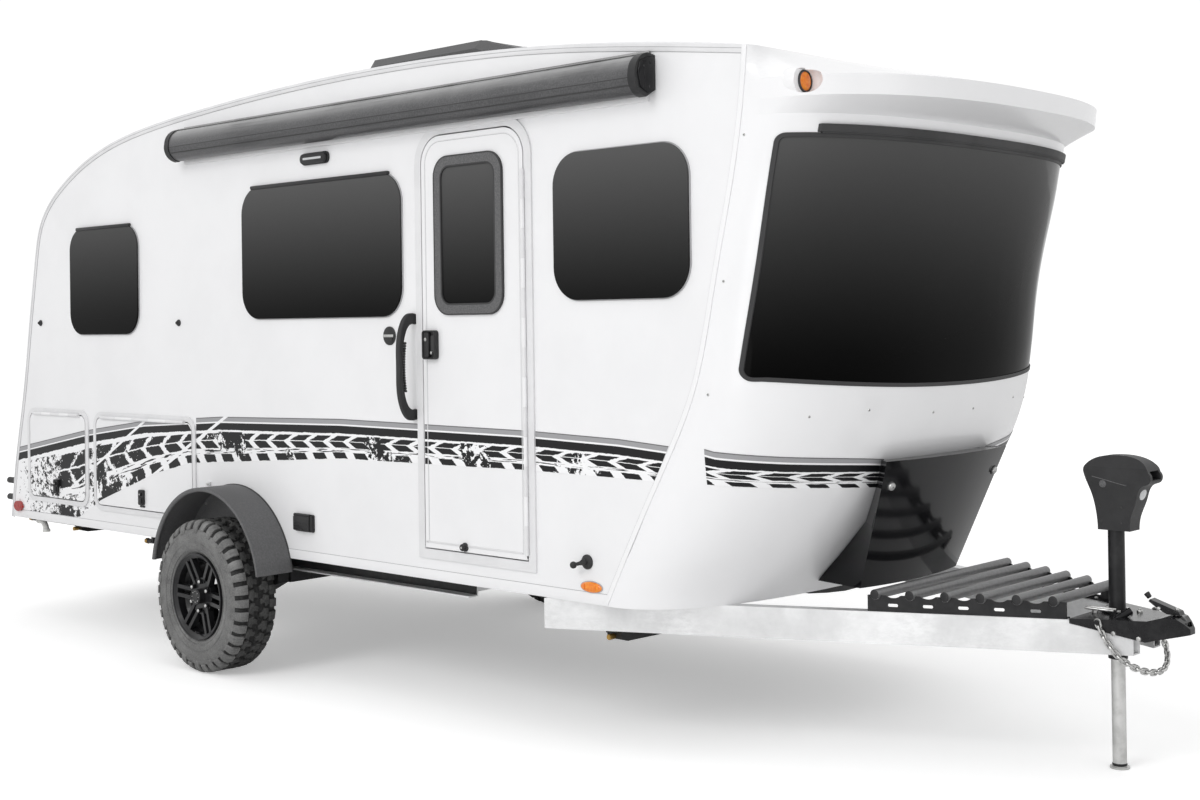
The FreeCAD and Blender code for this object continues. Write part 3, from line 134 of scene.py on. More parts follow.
def smooth_line(points: Sequence[Point], steps: int) -> np.ndarray:
    """Even points along the natural cubic spline through a few points.

    Args:
        points: Points in two or three dimensions.
        steps: Number of points wanted.

    Returns:
        Array of points, evenly spaced along the curve.
    """
    pts = np.array(points, float)
    gaps = np.linalg.norm(np.diff(pts, axis=0), axis=1)
    t = np.concatenate([[0.0], np.cumsum(gaps)])
    n = len(pts)
    a = np.zeros((n, n))
    b = np.zeros((n, pts.shape[1]))
    a[0, 0] = a[-1, -1] = 1.0
    for i in range(1, n - 1):
        a[i, i - 1], a[i, i + 1] = gaps[i - 1], gaps[i]
        a[i, i] = 2 * (gaps[i - 1] + gaps[i])
        b[i] = 6 * ((pts[i + 1] - pts[i]) / gaps[i] - (pts[i] - pts[i - 1]) / gaps[i - 1])
    m = np.linalg.solve(a, b)
    fine = np.linspace(0, t[-1], 40 * n)
    k = np.clip(np.searchsorted(t, fine, side="right") - 1, 0, n - 2)
    h, u = gaps[k][:, None], (fine - t[k])[:, None]
    w = h - u
    line = (m[k] * w**3 + m[k + 1] * u**3) / (6 * h)
    line += (pts[k] / h - m[k] * h / 6) * w + (pts[k + 1] / h - m[k + 1] * h / 6) * u
    run = np.concatenate([[0.0], np.cumsum(np.linalg.norm(np.diff(line, axis=0), axis=1))])
    want = np.linspace(0, run[-1], steps)
    return np.stack([np.interp(want, run, line[:, c]) for c in range(pts.shape[1])], axis=1)


def rounded_rect(x0: float, x1: float, z0: float, z1: float, r: float, steps: int = 8) -> list[Point]:
    """Corners-rounded rectangle as (x, z) points, anticlockwise.

    Args:
        x0, x1, z0, z1: Limits.
        r: Corner radius.
        steps: Points in each corner.

    Returns:
        The outline's points.
    """
    middles = ((x1 - r, z1 - r), (x0 + r, z1 - r), (x0 + r, z0 + r), (x1 - r, z0 + r))
    points = []
    for corner, (cx, cz) in enumerate(middles):
        for i in range(steps + 1):
            a = math.radians(90 * corner + 90 * i / steps)
            points.append(on_circle(r, a, cx, cz))
    return points


def on_circle(r: float, angle: float, x: float = 0.0, z: float = 0.0) -> tuple[float, float]:
    """Point of a circle about (x, z) at an angle in radians."""
    return x + r * math.cos(angle), z + r * math.sin(angle)


# ---------------------------------------------------------------- shapes


def block(low: Point, high: Point, bevel: float = 0.0) -> Mesh:
    """Box between two corners, with rounded edges.

    Args:
        low, high: Corners.
        bevel: Width of the rounding.

    Returns:
        The new shape.
    """
    bm = bmesh.new()
    bmesh.ops.create_cube(bm, size=1.0)
    low, high = Vector(low), Vector(high)
    bmesh.ops.scale(bm, vec=high - low, verts=bm.verts)
    bmesh.ops.translate(bm, vec=(low + high) / 2, verts=bm.verts)
    return rounded_off(bm, bevel)


def rounded_off(bm: Mesh, bevel: float, angle: float = 30.0) -> Mesh:
    """Round every edge sharper than an angle.

    Args:
        bm: Shape.
        bevel: Width of the rounding.
        angle: Smallest angle between faces, in degrees.

    Returns:
        The same shape.
    """
    if bevel > 0:
        least = math.radians(angle)
        sharp = [e for e in bm.edges if len(e.link_faces) == 2 and e.calc_face_angle(0) > least]
        bmesh.ops.bevel(bm, geom=sharp, offset=bevel, offset_type="OFFSET", segments=2, profile=0.5,
                        affect="EDGES", material=-1, clamp_overlap=True)
    return bm


def rod(a: Point, b: Point, r: float, r_end: float | None = None, sides: int = 24,
        bevel: float = 0.0) -> Mesh:
    """Round bar from one point to another.

    Args:
        a, b: Centres of the ends.
        r: Radius at a.
        r_end: Radius at b, where it differs.
        sides: Facets round it.
        bevel: Rounding of the rims.

    Returns:
        The new shape.
    """
    bm = bmesh.new()
    a, b = Vector(a), Vector(b)
    axis = b - a
    bmesh.ops.create_cone(bm, cap_ends=True, segments=sides, radius1=r,
                          radius2=r if r_end is None else r_end, depth=axis.length)
    turn = axis.to_track_quat("Z", "Y").to_matrix().to_4x4()
    bmesh.ops.transform(bm, matrix=Matrix.Translation((a + b) / 2) @ turn, verts=bm.verts)
    return rounded_off(bm, bevel, 50)


def ball(centre: Point, size: Point, steps: int) -> Mesh:
    """Ellipsoid.

    Args:
        centre: Its middle.
        size: Its half sizes.
        steps: Facets from pole to pole.

    Returns:
        The new shape.
    """
    bm = bmesh.new()
    bmesh.ops.create_uvsphere(bm, u_segments=steps * 2, v_segments=steps, radius=1.0)
    bmesh.ops.scale(bm, vec=Vector(size), verts=bm.verts)
    bmesh.ops.translate(bm, vec=Vector(centre), verts=bm.verts)
    return bm


def pushed(bm: Mesh, faces: Sequence[bmesh.types.BMFace], along: Point) -> Mesh:
    """Close a shape by pushing its faces along a vector.

    Args:
        bm: Shape that holds the faces.
        faces: The faces.
        along: The push.

    Returns:
        The same shape.
    """
    moved = bmesh.ops.extrude_face_region(bm, geom=faces, use_keep_orig=True)["geom"]
    verts = [v for v in moved if isinstance(v, bmesh.types.BMVert)]
    bmesh.ops.translate(bm, vec=Vector(along), verts=verts)
    bmesh.ops.recalc_face_normals(bm, faces=bm.faces)
    return bm


def push(points: Sequence[Point], along: Point, bevel: float = 0.0) -> Mesh:
    """Flat polygon pushed along a vector.

    Args:
        points: Three-dimensional outline.
        along: The push.
        bevel: Rounding of the sharp edges.

    Returns:
        The new shape.
    """
    bm = bmesh.new()
    face = bm.faces.new([bm.verts.new(p) for p in points])
    return rounded_off(pushed(bm, [face], along), bevel)


def side_plate(outline: Sequence[Point], y0: float, y1: float, bevel: float = 0.0) -> Mesh:
    """Upright plate with an (x, z) outline, from y0 to y1."""
    return push([(x, y0, z) for x, z in outline], (0, y1 - y0, 0), bevel)


def ring_plate(outer: Sequence[Point], inner: Sequence[Point], y0: float, y1: float,
               bevel: float = 0.0) -> Mesh:
    """Upright ring between two (x, z) outlines, from y0 to y1.

    Args:
        outer, inner: Outlines with as many points each.
        y0, y1: Faces of the ring.
        bevel: Rounding of its edges.

    Returns:
        The new shape.
    """
    bm = bmesh.new()
    loops = []
    for line in (outer, inner):
        verts = [bm.verts.new((x, y0, z)) for x, z in line]
        loops += [bm.edges.new((v, w)) for v, w in zip(verts, verts[1:] + verts[:1])]
    faces = bmesh.ops.bridge_loops(bm, edges=loops)["faces"]
    return rounded_off(pushed(bm, faces, (0, y1 - y0, 0)), bevel, 60)


def rect_ring(rect: Point, r: Point, inset: float, y: Point, bevel: float, steps: int) -> Mesh:
    """Upright ring between a rounded rectangle and the same one moved in.

    Args:
        rect: Outer limits x0, x1, z0, z1.
        r: Outer and inner corner radius.
        inset: Width of the ring.
        y: Its two faces.
        bevel: Rounding of its edges.
        steps: Points in each corner.

    Returns:
        The new shape.
    """
    x0, x1, z0, z1 = rect
    inner = rounded_rect(x0 + inset, x1 - inset, z0 + inset, z1 - inset, r[1], steps)
    return ring_plate(rounded_rect(*rect, r[0], steps), inner, *y, bevel)


def lathe(profile: Sequence[Point], centre: Point, steps: int, closed: bool = True) -> Mesh:
    """Profile of (radius, y) points turned about an axis along Y.

    Args:
        profile: The points.
        centre: A point on the axis.
        steps: Facets round it.
        closed: Whether the profile is a closed loop.

    Returns:
        The new shape.
    """
    bm = bmesh.new()
    verts = [bm.verts.new((r, y, 0)) for r, y in profile]
    pairs = list(zip(verts, verts[1:])) + ([(verts[-1], verts[0])] if closed else [])
    edges = [bm.edges.new(p) for p in pairs]
    bmesh.ops.spin(bm, geom=verts + edges, cent=ORIGIN, axis=(0, 1, 0), angle=2 * math.pi, steps=steps,
                   use_merge=True)
    bmesh.ops.remove_doubles(bm, verts=bm.verts, dist=0.01)
    bmesh.ops.recalc_face_normals(bm, faces=bm.faces)
    bmesh.ops.translate(bm, vec=Vector(centre), verts=bm.verts)
    return bm


def sweep(path: Sequence[Point], r: float, cyclic: bool = False, sides: int = 8) -> Mesh:
    """Round bar that follows a line of points.

    Args:
        path: The points.
        r: Radius.
        cyclic: Whether the line closes on itself.
        sides: Facets round it, a multiple of four.

    Returns:
        The new shape.
    """
    curve = bpy.data.curves.new("path", "CURVE")
    curve.dimensions = "3D"
    curve.bevel_depth = r
    curve.bevel_resolution = max(sides // 4 - 1, 0)
    curve.use_fill_caps = not cyclic
    spline = curve.splines.new("POLY")
    spline.points.add(len(path) - 1)
    for point, at in zip(spline.points, path):
        point.co = (*at, 1.0)
    spline.use_cyclic_u = cyclic
    holder = bpy.data.objects.new("path", curve)
    mesh = bpy.data.meshes.new_from_object(holder)
    bm = bmesh.new()
    bm.from_mesh(mesh)
    bpy.data.objects.remove(holder)
    bpy.data.curves.remove(curve)
    bpy.data.meshes.remove(mesh)
    bmesh.ops.remove_doubles(bm, verts=bm.verts, dist=0.001)
    bmesh.ops.recalc_face_normals(bm, faces=bm.faces)
    return bm


def turned(bm: Mesh, matrix: Matrix) -> Mesh:
    """Move a shape by a matrix, and give it back."""
    bmesh.ops.transform(bm, matrix=matrix, verts=bm.verts)
    return bm


class Piece:
    """A piece being put together from shapes."""

    def __init__(self, name: str, body: str, slot: Slot, side: Side = Side.RIGHT) -> None:
        """Start an empty piece.

        Args:
            name: Name of the finished object.
            body: Body that it moves with.
            slot: Slot of the record; it is stored but not used.
            side: Which sides its shapes go on, unless one says otherwise.
        """
        self.name = name
        self.body = body
        self.slot = slot
        self.side = side
        self.bm = bmesh.new()
        self.finishes: list[Material] = []

    def put(self, shape: Mesh, finish: Material, side: Side | None = None) -> None:
        """Add a shape modelled on the right side.

        Args:
            shape: The shape, which is used up.
            finish: Its material.
            side: Which sides it goes on, where the piece's own don't hold.
        """
        side = side or self.side
        if finish not in self.finishes:
            self.finishes.append(finish)
        index = self.finishes.index(finish)
        for face in shape.faces:
            face.material_index = index
        if side is not Side.LEFT:
            self._merge(shape)
        if side is not Side.RIGHT:
            bmesh.ops.transform(shape, matrix=MIRROR_Y, verts=shape.verts)
            bmesh.ops.reverse_faces(shape, faces=shape.faces)
            self._merge(shape)
        shape.free()

    def rods(self, *rows: Sequence[object], side: Side | None = None) -> None:
        """Add round bars.

        Args:
            rows: For each, its material and the arguments of rod.
            side: Which sides they go on, where the piece's own don't hold.
        """
        for finish, *sizes in rows:
            self.put(rod(*sizes), finish, side)

    def blocks(self, *rows: Sequence[object]) -> None:
        """Add boxes, each a material and the arguments of block."""
        for finish, *sizes in rows:
            self.put(block(*sizes), finish)

    def pads(self, y: float, *rows: Sequence[object]) -> None:
        """Add plates with round corners that stand on a wall.

        Args:
            y: Place of the wall's face.
            rows: For each, its material, the arguments of rounded_rect, its outer and inner height
                above the wall, and its bevel.
        """
        for finish, rect, top, foot, bevel in rows:
            self.put(side_plate(rounded_rect(*rect), y - top, y - foot, bevel), finish)

    def _merge(self, shape: Mesh) -> None:
        """Append a copy of a shape.

        Args:
            shape: The shape, in axle millimetres.
        """
        mesh = bpy.data.meshes.new("shape")
        shape.to_mesh(mesh)
        self.bm.from_mesh(mesh)
        bpy.data.meshes.remove(mesh)

    def finish(self, smooth: float = 35.0, replaces: Iterable[str] = ()) -> None:
        """Make the object, in its place.

        Args:
            smooth: Edges sharper than this many degrees stay sharp.
            replaces: CAD nodes that it stands for.
        """
        bmesh.ops.transform(self.bm, matrix=AXLE_TO_ROW, verts=self.bm.verts)
        mesh = bpy.data.meshes.new(self.name)
        self.bm.to_mesh(mesh)
        self.bm.free()
        for finish in self.finishes:
            mesh.materials.append(finish)
        mesh.shade_smooth()
        mesh.set_sharp_from_angle(angle=math.radians(smooth))
        obj = bpy.data.objects.new(self.name, mesh)
        bpy.context.scene.collection.objects.link(obj)
        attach(obj, self.body)
        if replaces:
            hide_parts(*replaces)
        LOG.info("%s: %d faces", self.name, len(mesh.polygons))


# ---------------------------------------------------------------- finishes


class Graph:
    """Short hand for wiring one node tree."""

    operations = ("ADD", "SUBTRACT", "MULTIPLY", "MAXIMUM", "GREATER_THAN", "LESS_THAN")

    def __init__(self, tree: NodeTree) -> None:
        """Hold the tree."""
        self.tree = tree

    def node(self, kind: str, inputs: dict[str | int, object] | None = None,
             **settings: object) -> bpy.types.Node:
        """Add a node.

        Args:
            kind: Blender's name of the node type.
            inputs: Values or sockets for its inputs.
            settings: Its properties.

        Returns:
            The node.
        """
        made = self.tree.nodes.new(kind)
        for key, value in settings.items():
            setattr(made, key, value)
        for key, value in (inputs or {}).items():
            self.feed(made.inputs[key], value)
        return made

    def feed(self, socket: Socket, value: object) -> None:
        """Link a socket, or set its value.

        Args:
            socket: An input.
            value: The output that feeds it, or a plain value.
        """
        if isinstance(value, Socket):
            self.tree.links.new(value, socket)
        elif isinstance(value, tuple) and len(value) == 3 and socket.type == "RGBA":
            socket.default_value = (*value, 1.0)
        else:
            socket.default_value = value

    def calc(self, operation: str, a: object, b: object = 0.0) -> Socket:
        """Arithmetic on one or two values."""
        return self.node("ShaderNodeMath", {0: a, 1: b}, operation=operation).outputs[0]

    def arithmetic(self) -> list[Callable[..., Socket]]:
        """Functions for sum, difference, product, maximum, is-greater and is-less, in this order."""
        return [partial(self.calc, name) for name in self.operations]

    def step(self, value: object, low: float, high: float, a: float = 0.0, b: float = 1.0) -> Socket:
        """Smooth step of a value, which is straight where low is above high.

        Args:
            value: The value.
            low, high: Where the step starts and ends.
            a, b: What comes out there.

        Returns:
            The result.
        """
        kind = "SMOOTHSTEP" if low < high else "LINEAR"
        return self.node("ShaderNodeMapRange", {0: value, 1: low, 2: high, 3: a, 4: b},
                         interpolation_type=kind, clamp=True).outputs[0]

    def mix(self, fac: object, a: object, b: object) -> Socket:
        """Blend of two colours."""
        return self.node("ShaderNodeMix", {0: fac, 6: a, 7: b}, data_type="RGBA").outputs[2]

    def noise(self, vector: object, scale: object, detail: float = 3.0, rough: float = 0.55) -> Socket:
        """Soft noise from 0 to 1."""
        return self.node("ShaderNodeTexNoise", {"Vector": vector, "Scale": scale, "Detail": detail,
                                                "Roughness": rough}).outputs["Fac"]

    def group(self, tree: NodeTree, *values: object) -> Sequence[Socket]:
        """Outputs of a node group that is fed with values, in order."""
        return self.node("ShaderNodeGroup", dict(enumerate(values)), node_tree=tree).outputs

    def split(self, vector: object) -> Sequence[Socket]:
        """The three parts of a vector."""
        return self.node("ShaderNodeSeparateXYZ", {0: vector}).outputs

    def place(self) -> Socket:
        """Place on the object, in metres of the row frame."""
        return self.node("ShaderNodeTexCoord").outputs["Object"]


def effect(name: str, inputs: dict[str, tuple[str, object]],
           outputs: dict[str, str]) -> tuple[Graph, bpy.types.Node, bpy.types.Node]:
    """Start a shader node group.

    Args:
        name: Name of the group.
        inputs: Socket type and default for each input.
        outputs: Socket type for each output.

    Returns:
        The group's graph, its input node and its output node.
    """
    tree = bpy.data.node_groups.new(name, "ShaderNodeTree")
    for key, (kind, default) in inputs.items():
        socket = tree.interface.new_socket(key, in_out="INPUT", socket_type=kind)
        if default is not None:
            socket.default_value = default
    for key, kind in outputs.items():
        tree.interface.new_socket(key, in_out="OUTPUT", socket_type=kind)
    graph = Graph(tree)
    return graph, graph.node("NodeGroupInput"), graph.node("NodeGroupOutput")


def new_material(name: str) -> tuple[Material, Graph, bpy.types.Node]:
    """Start a material.

    Args:
        name: Its name.

    Returns:
        The material, its graph and its shader.
    """
    material = bpy.data.materials.new(name)
    material.use_nodes = True
    return material, Graph(material.node_tree), material.node_tree.nodes["Principled BSDF"]


FLOAT, COLOUR, VECTOR = "NodeSocketFloat", "NodeSocketColor", "NodeSocketVector"


class Effects:
    """Shader node groups that several finishes share."""

    def __init__(self) -> None:
        """Build every group once."""
        self.grain = self._grain()
        self.mottle = self._mottle()
        self.brushed = self._brushed()
        self.dust = self._dust()

    @staticmethod
    def _grain() -> NodeTree:
        """Fine moulded grain.

        Returns:
            A group that gives a height.
        """
        g, start, end = effect("moulded_grain", {"Vector": (VECTOR, None), "Scale": (FLOAT, 900.0)},
                               {"Height": FLOAT})
        where = {"Vector": start.outputs[0], "Scale": start.outputs[1]}
        fine = g.node("ShaderNodeTexNoise", {**where, "Detail": 2.0})
        coarse = g.node("ShaderNodeTexVoronoi", where)
        g.feed(end.inputs[0], g.calc("ADD", fine.outputs["Fac"], coarse.outputs["Distance"]))
        return g.tree

    @staticmethod
    def _mottle() -> NodeTree:
        """Soft uneven colour and gloss.

        Returns:
            A group that gives a colour and a mask.
        """
        inputs = {"Vector": (VECTOR, None), "Colour": (COLOUR, (0.8, 0.8, 0.8, 1)),
                  "Second": (COLOUR, (0.7, 0.7, 0.7, 1)), "Scale": (FLOAT, 3.0)}
        g, start, end = effect("mottle", inputs, {"Colour": COLOUR, "Mask": FLOAT})
        vector, first, second, scale = start.outputs[:4]
        mask = g.step(g.noise(vector, scale, 5.0, 0.6), 0.35, 0.7)
        g.feed(end.inputs[0], g.mix(mask, first, second))
        g.feed(end.inputs[1], mask)
        return g.tree

    @staticmethod
    def _brushed() -> NodeTree:
        """Long streaks along X.

        Returns:
            A group that gives a mask and a height.
        """
        g, start, end = effect("drawn_streaks", {"Vector": (VECTOR, None), "Scale": (FLOAT, 60.0)},
                               {"Mask": FLOAT, "Height": FLOAT})
        vector, scale = start.outputs[:2]
        stretched = g.node("ShaderNodeMapping", {"Vector": vector, "Scale": (0.03, 1.0, 1.0)}).outputs[0]
        streak = g.noise(stretched, scale, 4.0, 0.7)
        cloud = g.step(g.noise(vector, 4.0, 4.0), 0.25, 0.7)
        g.feed(end.inputs[0], g.calc("MULTIPLY", g.step(streak, 0.3, 0.75), cloud))
        g.feed(end.inputs[1], streak)
        return g.tree

    @staticmethod
    def _dust() -> NodeTree:
        """Road dust that lies on upper faces and in patches.

        Returns:
            A group that gives a mask.
        """
        g, start, end = effect("road_dust", {"Vector": (VECTOR, None), "Amount": (FLOAT, 0.5),
                                             "Scale": (FLOAT, 12.0)}, {"Mask": FLOAT})
        vector, amount, scale = start.outputs[:3]
        up = g.split(g.node("ShaderNodeNewGeometry").outputs["Normal"])[2]
        patch = g.step(g.noise(vector, scale, 6.0, 0.7), 0.3, 0.75)
        fleck = g.calc("MULTIPLY", g.noise(vector, 420.0, 2.0), 0.35)
        lie = g.calc("ADD", g.step(up, -0.2, 0.9, 0.25, 1.0), fleck)
        g.feed(end.inputs[0], g.calc("MULTIPLY", g.calc("MULTIPLY", patch, lie), amount))
        return g.tree


@dataclass(frozen=True)
class Finish:
    """A finish: what a surface is made of and how it looks close up.

    Grain is a depth in millimetres and a scale; the painted highlight is a range of heights in millimetres
    and the lighter grey that the colour turns to across it.
    """

    name: str
    colour: Rgb
    second: Rgb | None = None
    rough: float = 0.4
    scale: float = 3.0
    metallic: float = 0.0
    coat: float = 0.0
    specular: float = 0.5
    grain: tuple[float, float] | None = None
    streaks: float = 0.0
    dust: float = 0.0
    dust_colour: Rgb = (0.3, 0.3, 0.29)
    # painted highlight: a lighter grey over a range of heights, for the sky seen on the upper part
    fade: tuple[float, float, float] | None = None
    rough_spread: tuple[float, float] = (0.92, 1.12)
    dusty_rough: float = 0.9
    streak_depth: float = 0.0002

    def make(self, effects: Effects) -> Material:
        """Build the material.

        Args:
            effects: The shared node groups.

        Returns:
            The material.
        """
        material, g, shader = new_material(self.name)
        place = g.place()
        second = self.second or tuple(c * 0.93 for c in self.colour)
        colour, mask = g.group(effects.mottle, place, self.colour, second, self.scale)
        smooth, dull = (self.rough * share for share in self.rough_spread)
        rough = g.step(mask, 0.0, 1.0, smooth, min(dull, 1.0))
        heights = []
        # painted highlight: the colour turns to a lighter grey towards the top of the range of heights
        if self.fade:
            low, high, grey = self.fade
            colour = g.mix(g.step(g.split(place)[2], low / 1000, high / 1000), colour, (grey,) * 3)
        if self.streaks:
            drawn, height = g.group(effects.brushed, place)
            colour = g.mix(drawn, colour, tuple(c * (1 - self.streaks) for c in self.colour))
            heights.append((height, self.streak_depth * self.streaks))
        if self.dust:
            powder = g.group(effects.dust, place, self.dust)[0]
            colour = g.mix(powder, colour, self.dust_colour)
            rough = g.calc("MAXIMUM", rough, g.calc("MULTIPLY", powder, self.dusty_rough))
        if self.grain:
            depth, scale = self.grain
            heights.append((g.group(effects.grain, place, scale)[0], depth / 1000))
        values = {"Base Color": colour, "Roughness": rough, "Metallic": self.metallic,
                  "Coat Weight": self.coat, "Coat Roughness": 0.08, "Specular IOR Level": self.specular}
        for height, distance in heights:
            bump = g.node("ShaderNodeBump", {"Height": height, "Distance": distance, "Strength": 0.8})
            if "Normal" in values:
                g.feed(bump.inputs["Normal"], values["Normal"])
            values["Normal"] = bump.outputs[0]
        for key, value in values.items():
            g.feed(shader.inputs[key], value)
        return material


@dataclass(frozen=True)
class TintedPaneWithPaintedReflection:
    """Near-black acrylic with a painted sky reflection that makes it lighter towards its top edge."""

    name: str
    low_z: float
    high_z: float
    low: float = 0.003
    # high is the grey of the painted sky reflection at the top edge
    high: float = 0.095
    fade: float = 1.5
    specular: float = 0.035

    def make(self) -> Material:
        """Build the material.

        Returns:
            The material.
        """
        material, g, shader = new_material(self.name)
        place = g.place()
        # painted reflection: the grey rises from low at low_z to high at high_z, standing in for the sky seen
        # in the pane
        inputs = {0: g.split(place)[2], 1: self.low_z / 1000, 2: self.high_z / 1000, 3: 0.0, 4: 1.0}
        share = g.node("ShaderNodeMapRange", inputs, clamp=True).outputs[0]
        tint_and_painted_reflection = g.mix(g.calc("POWER", share, self.fade), (self.low,) * 3, (self.high,) * 3)
        g.feed(shader.inputs["Base Color"], tint_and_painted_reflection)
        g.feed(shader.inputs["Roughness"], g.step(g.noise(place, 5.0), 0.3, 0.7, 0.05, 0.09))
        shader.inputs["Specular IOR Level"].default_value = self.specular
        return material


@dataclass(frozen=True)
class TreadBand:
    """Printed band: grey stripe, black stripe and rows of worn tread blocks, from its own UV map.

    Along the band, u counts tread blocks. Across it, v runs from 0 at its top to 1 at its foot.
    Places on the wall are metres of the row frame. A noise is its scale, detail and roughness.
    """

    name: str = "printed_tread_band"
    paper: Rgb = (0.87, 0.87, 0.88)
    ink: Rgb = (0.009, 0.009, 0.01)
    grey: Rgb = (0.33, 0.33, 0.34)
    rim_shade: float = 0.45
    rough: tuple[float, float] = (0.28, 0.4)
    specular: float = 0.22
    rim: float = 0.02
    stripe: float = 0.115
    black: tuple[float, float] = (0.15, 0.29)
    tread_top: float = 0.33
    lane: tuple[float, float] = (0.71, 0.81)
    rows: tuple[tuple[float, ...], ...] = ((0.355, 0.5, 0.4, 0.72, 0.0), (0.52, 0.69, -0.36, 0.7, 0.44),
                                           (0.82, 0.995, -0.16, 0.6, 0.25))
    cuts: tuple[tuple[float, ...], ...] = ((-1.096, 1.201, 0.49, 0.009), (-1.811, 1.168, 0.51, 0.008))
    rear_x: tuple[float, float] = (-1.2, -2.9)
    rear_width: float = 0.16
    worn_noise: tuple[float, ...] = (22.0, 5.0, 0.75)
    patch_noise: tuple[float, ...] = (2.6, 2.0)
    wear_across: float = 0.05
    wear_along: tuple[float, float] = (1.1, 0.25)
    stroke_scale: Point = (1.3, 26.0, 1.0)
    stroke_level: float = 0.56
    chips: tuple[float, float, float] = (0.17, 0.66, 0.02)
    splash_noise: tuple[float, ...] = (9.0, 5.0, 0.75)
    splash_level: float = 0.47
    spots: tuple[float, float, float] = (0.3, 0.12, 0.735)
    spotless_x: tuple[float, ...] = (0.8, 1.25, 0.0, 0.25)
    mud_noise: tuple[float, ...] = (34.0, 3.0, 0.8)
    mud_x: float = -2.74
    mud_levels: tuple[float, ...] = (-3.0, -3.22, 0.53, 0.68)

    def row(self, g: Graph, u: Socket, v: Socket, wide: Socket, sizes: Sequence[float]) -> Socket:
        """Mask of one row of slanted blocks.

        Args:
            g: The graph.
            u, v: Place along and across the band.
            wide: What is added to the inked share.
            sizes: Limits of the row across the band, slant of its blocks, inked share, first block.

        Returns:
            The mask.
        """
        top, low, slope, duty, start = sizes
        add, sub, mul, _, over, under = g.arithmetic()
        across = mul(sub(v, top), slope / (low - top))
        at = g.calc("FRACT", add(add(u, start), across))
        return mul(mul(under(at, add(wide, duty)), over(v, top)), under(v, low))

    def make(self) -> Material:
        """Build the material.

        Returns:
            The material.
        """
        material, g, shader = new_material(self.name)
        add, sub, mul, most, over, under = g.arithmetic()
        place = g.place()
        uv = g.node("ShaderNodeUVMap", uv_map="band").outputs[0]
        u, v, _ = g.split(uv)
        x, _, z = g.split(place)
        worn = g.noise(place, *self.worn_noise)
        patch = g.noise(place, *self.patch_noise)
        swing = sub(worn, 0.5)
        edge = add(v, mul(swing, self.wear_across))
        rear = g.step(x, *self.rear_x)
        wide = mul(rear, self.rear_width)
        at_rear, anywhere = self.wear_along
        u = add(u, mul(swing, add(mul(rear, at_rear), anywhere)))
        rows = 0.0
        for sizes in self.rows:
            rows = most(rows, self.row(g, u, edge, wide, sizes))
        thin = g.node("ShaderNodeMapping", {"Vector": uv, "Scale": self.stroke_scale}).outputs[0]
        stroke = over(g.noise(thin, 1.0, 2.0), self.stroke_level)
        rows = most(rows, mul(stroke, mul(over(v, self.lane[0]), under(v, self.lane[1]))))
        at_rear, in_patch, least = self.chips
        limit = add(mul(rear, at_rear), mul(patch, in_patch))
        rows = mul(rows, over(worn, sub(limit, least)))
        below = over(v, self.tread_top)
        splash = over(g.noise(place, *self.splash_noise), self.splash_level)
        by_wear, at_rear, level = self.spots
        spot = add(add(patch, mul(worn, by_wear)), mul(rear, at_rear))
        spot = sub(spot, g.step(x, *self.spotless_x))
        rows = g.mix(mul(over(spot, level), below), rows, splash)
        ragged = add(x, mul(swing, 0.5))
        mud = over(g.noise(place, *self.mud_noise), g.step(ragged, *self.mud_levels))
        rows = g.mix(mul(under(ragged, self.mud_x), below), rows, mud)
        ink = most(rows, mul(over(v, self.black[0]), under(edge, self.black[1])))
        cut = self.streak(g, x, z)
        dark = tuple(c * self.rim_shade for c in self.grey)
        colour = self.paper
        for mask, top in ((under(v, self.stripe), self.grey), (under(v, self.rim), dark), (ink, self.ink)):
            colour = g.mix(mul(mask, cut), colour, top)
        g.feed(shader.inputs["Base Color"], colour)
        g.feed(shader.inputs["Roughness"], g.step(worn, 0.2, 0.8, *self.rough))
        shader.inputs["Specular IOR Level"].default_value = self.specular
        return material

    def streak(self, g: Graph, x: Socket, z: Socket) -> Socket:
        """Mask of the thin diagonal lines left bare across the band.

        Args:
            g: The graph.
            x, z: Place on the wall, in metres.

        Returns:
            0 on the lines, 1 elsewhere.
        """
        _, sub, mul, _, over, _ = g.arithmetic()
        mask = 1.0
        for x0, z0, slope, half in self.cuts:
            line = sub(sub(z, z0), mul(sub(x, x0), slope))
            mask = mul(mask, over(g.calc("ABSOLUTE", line), half))
        return mask


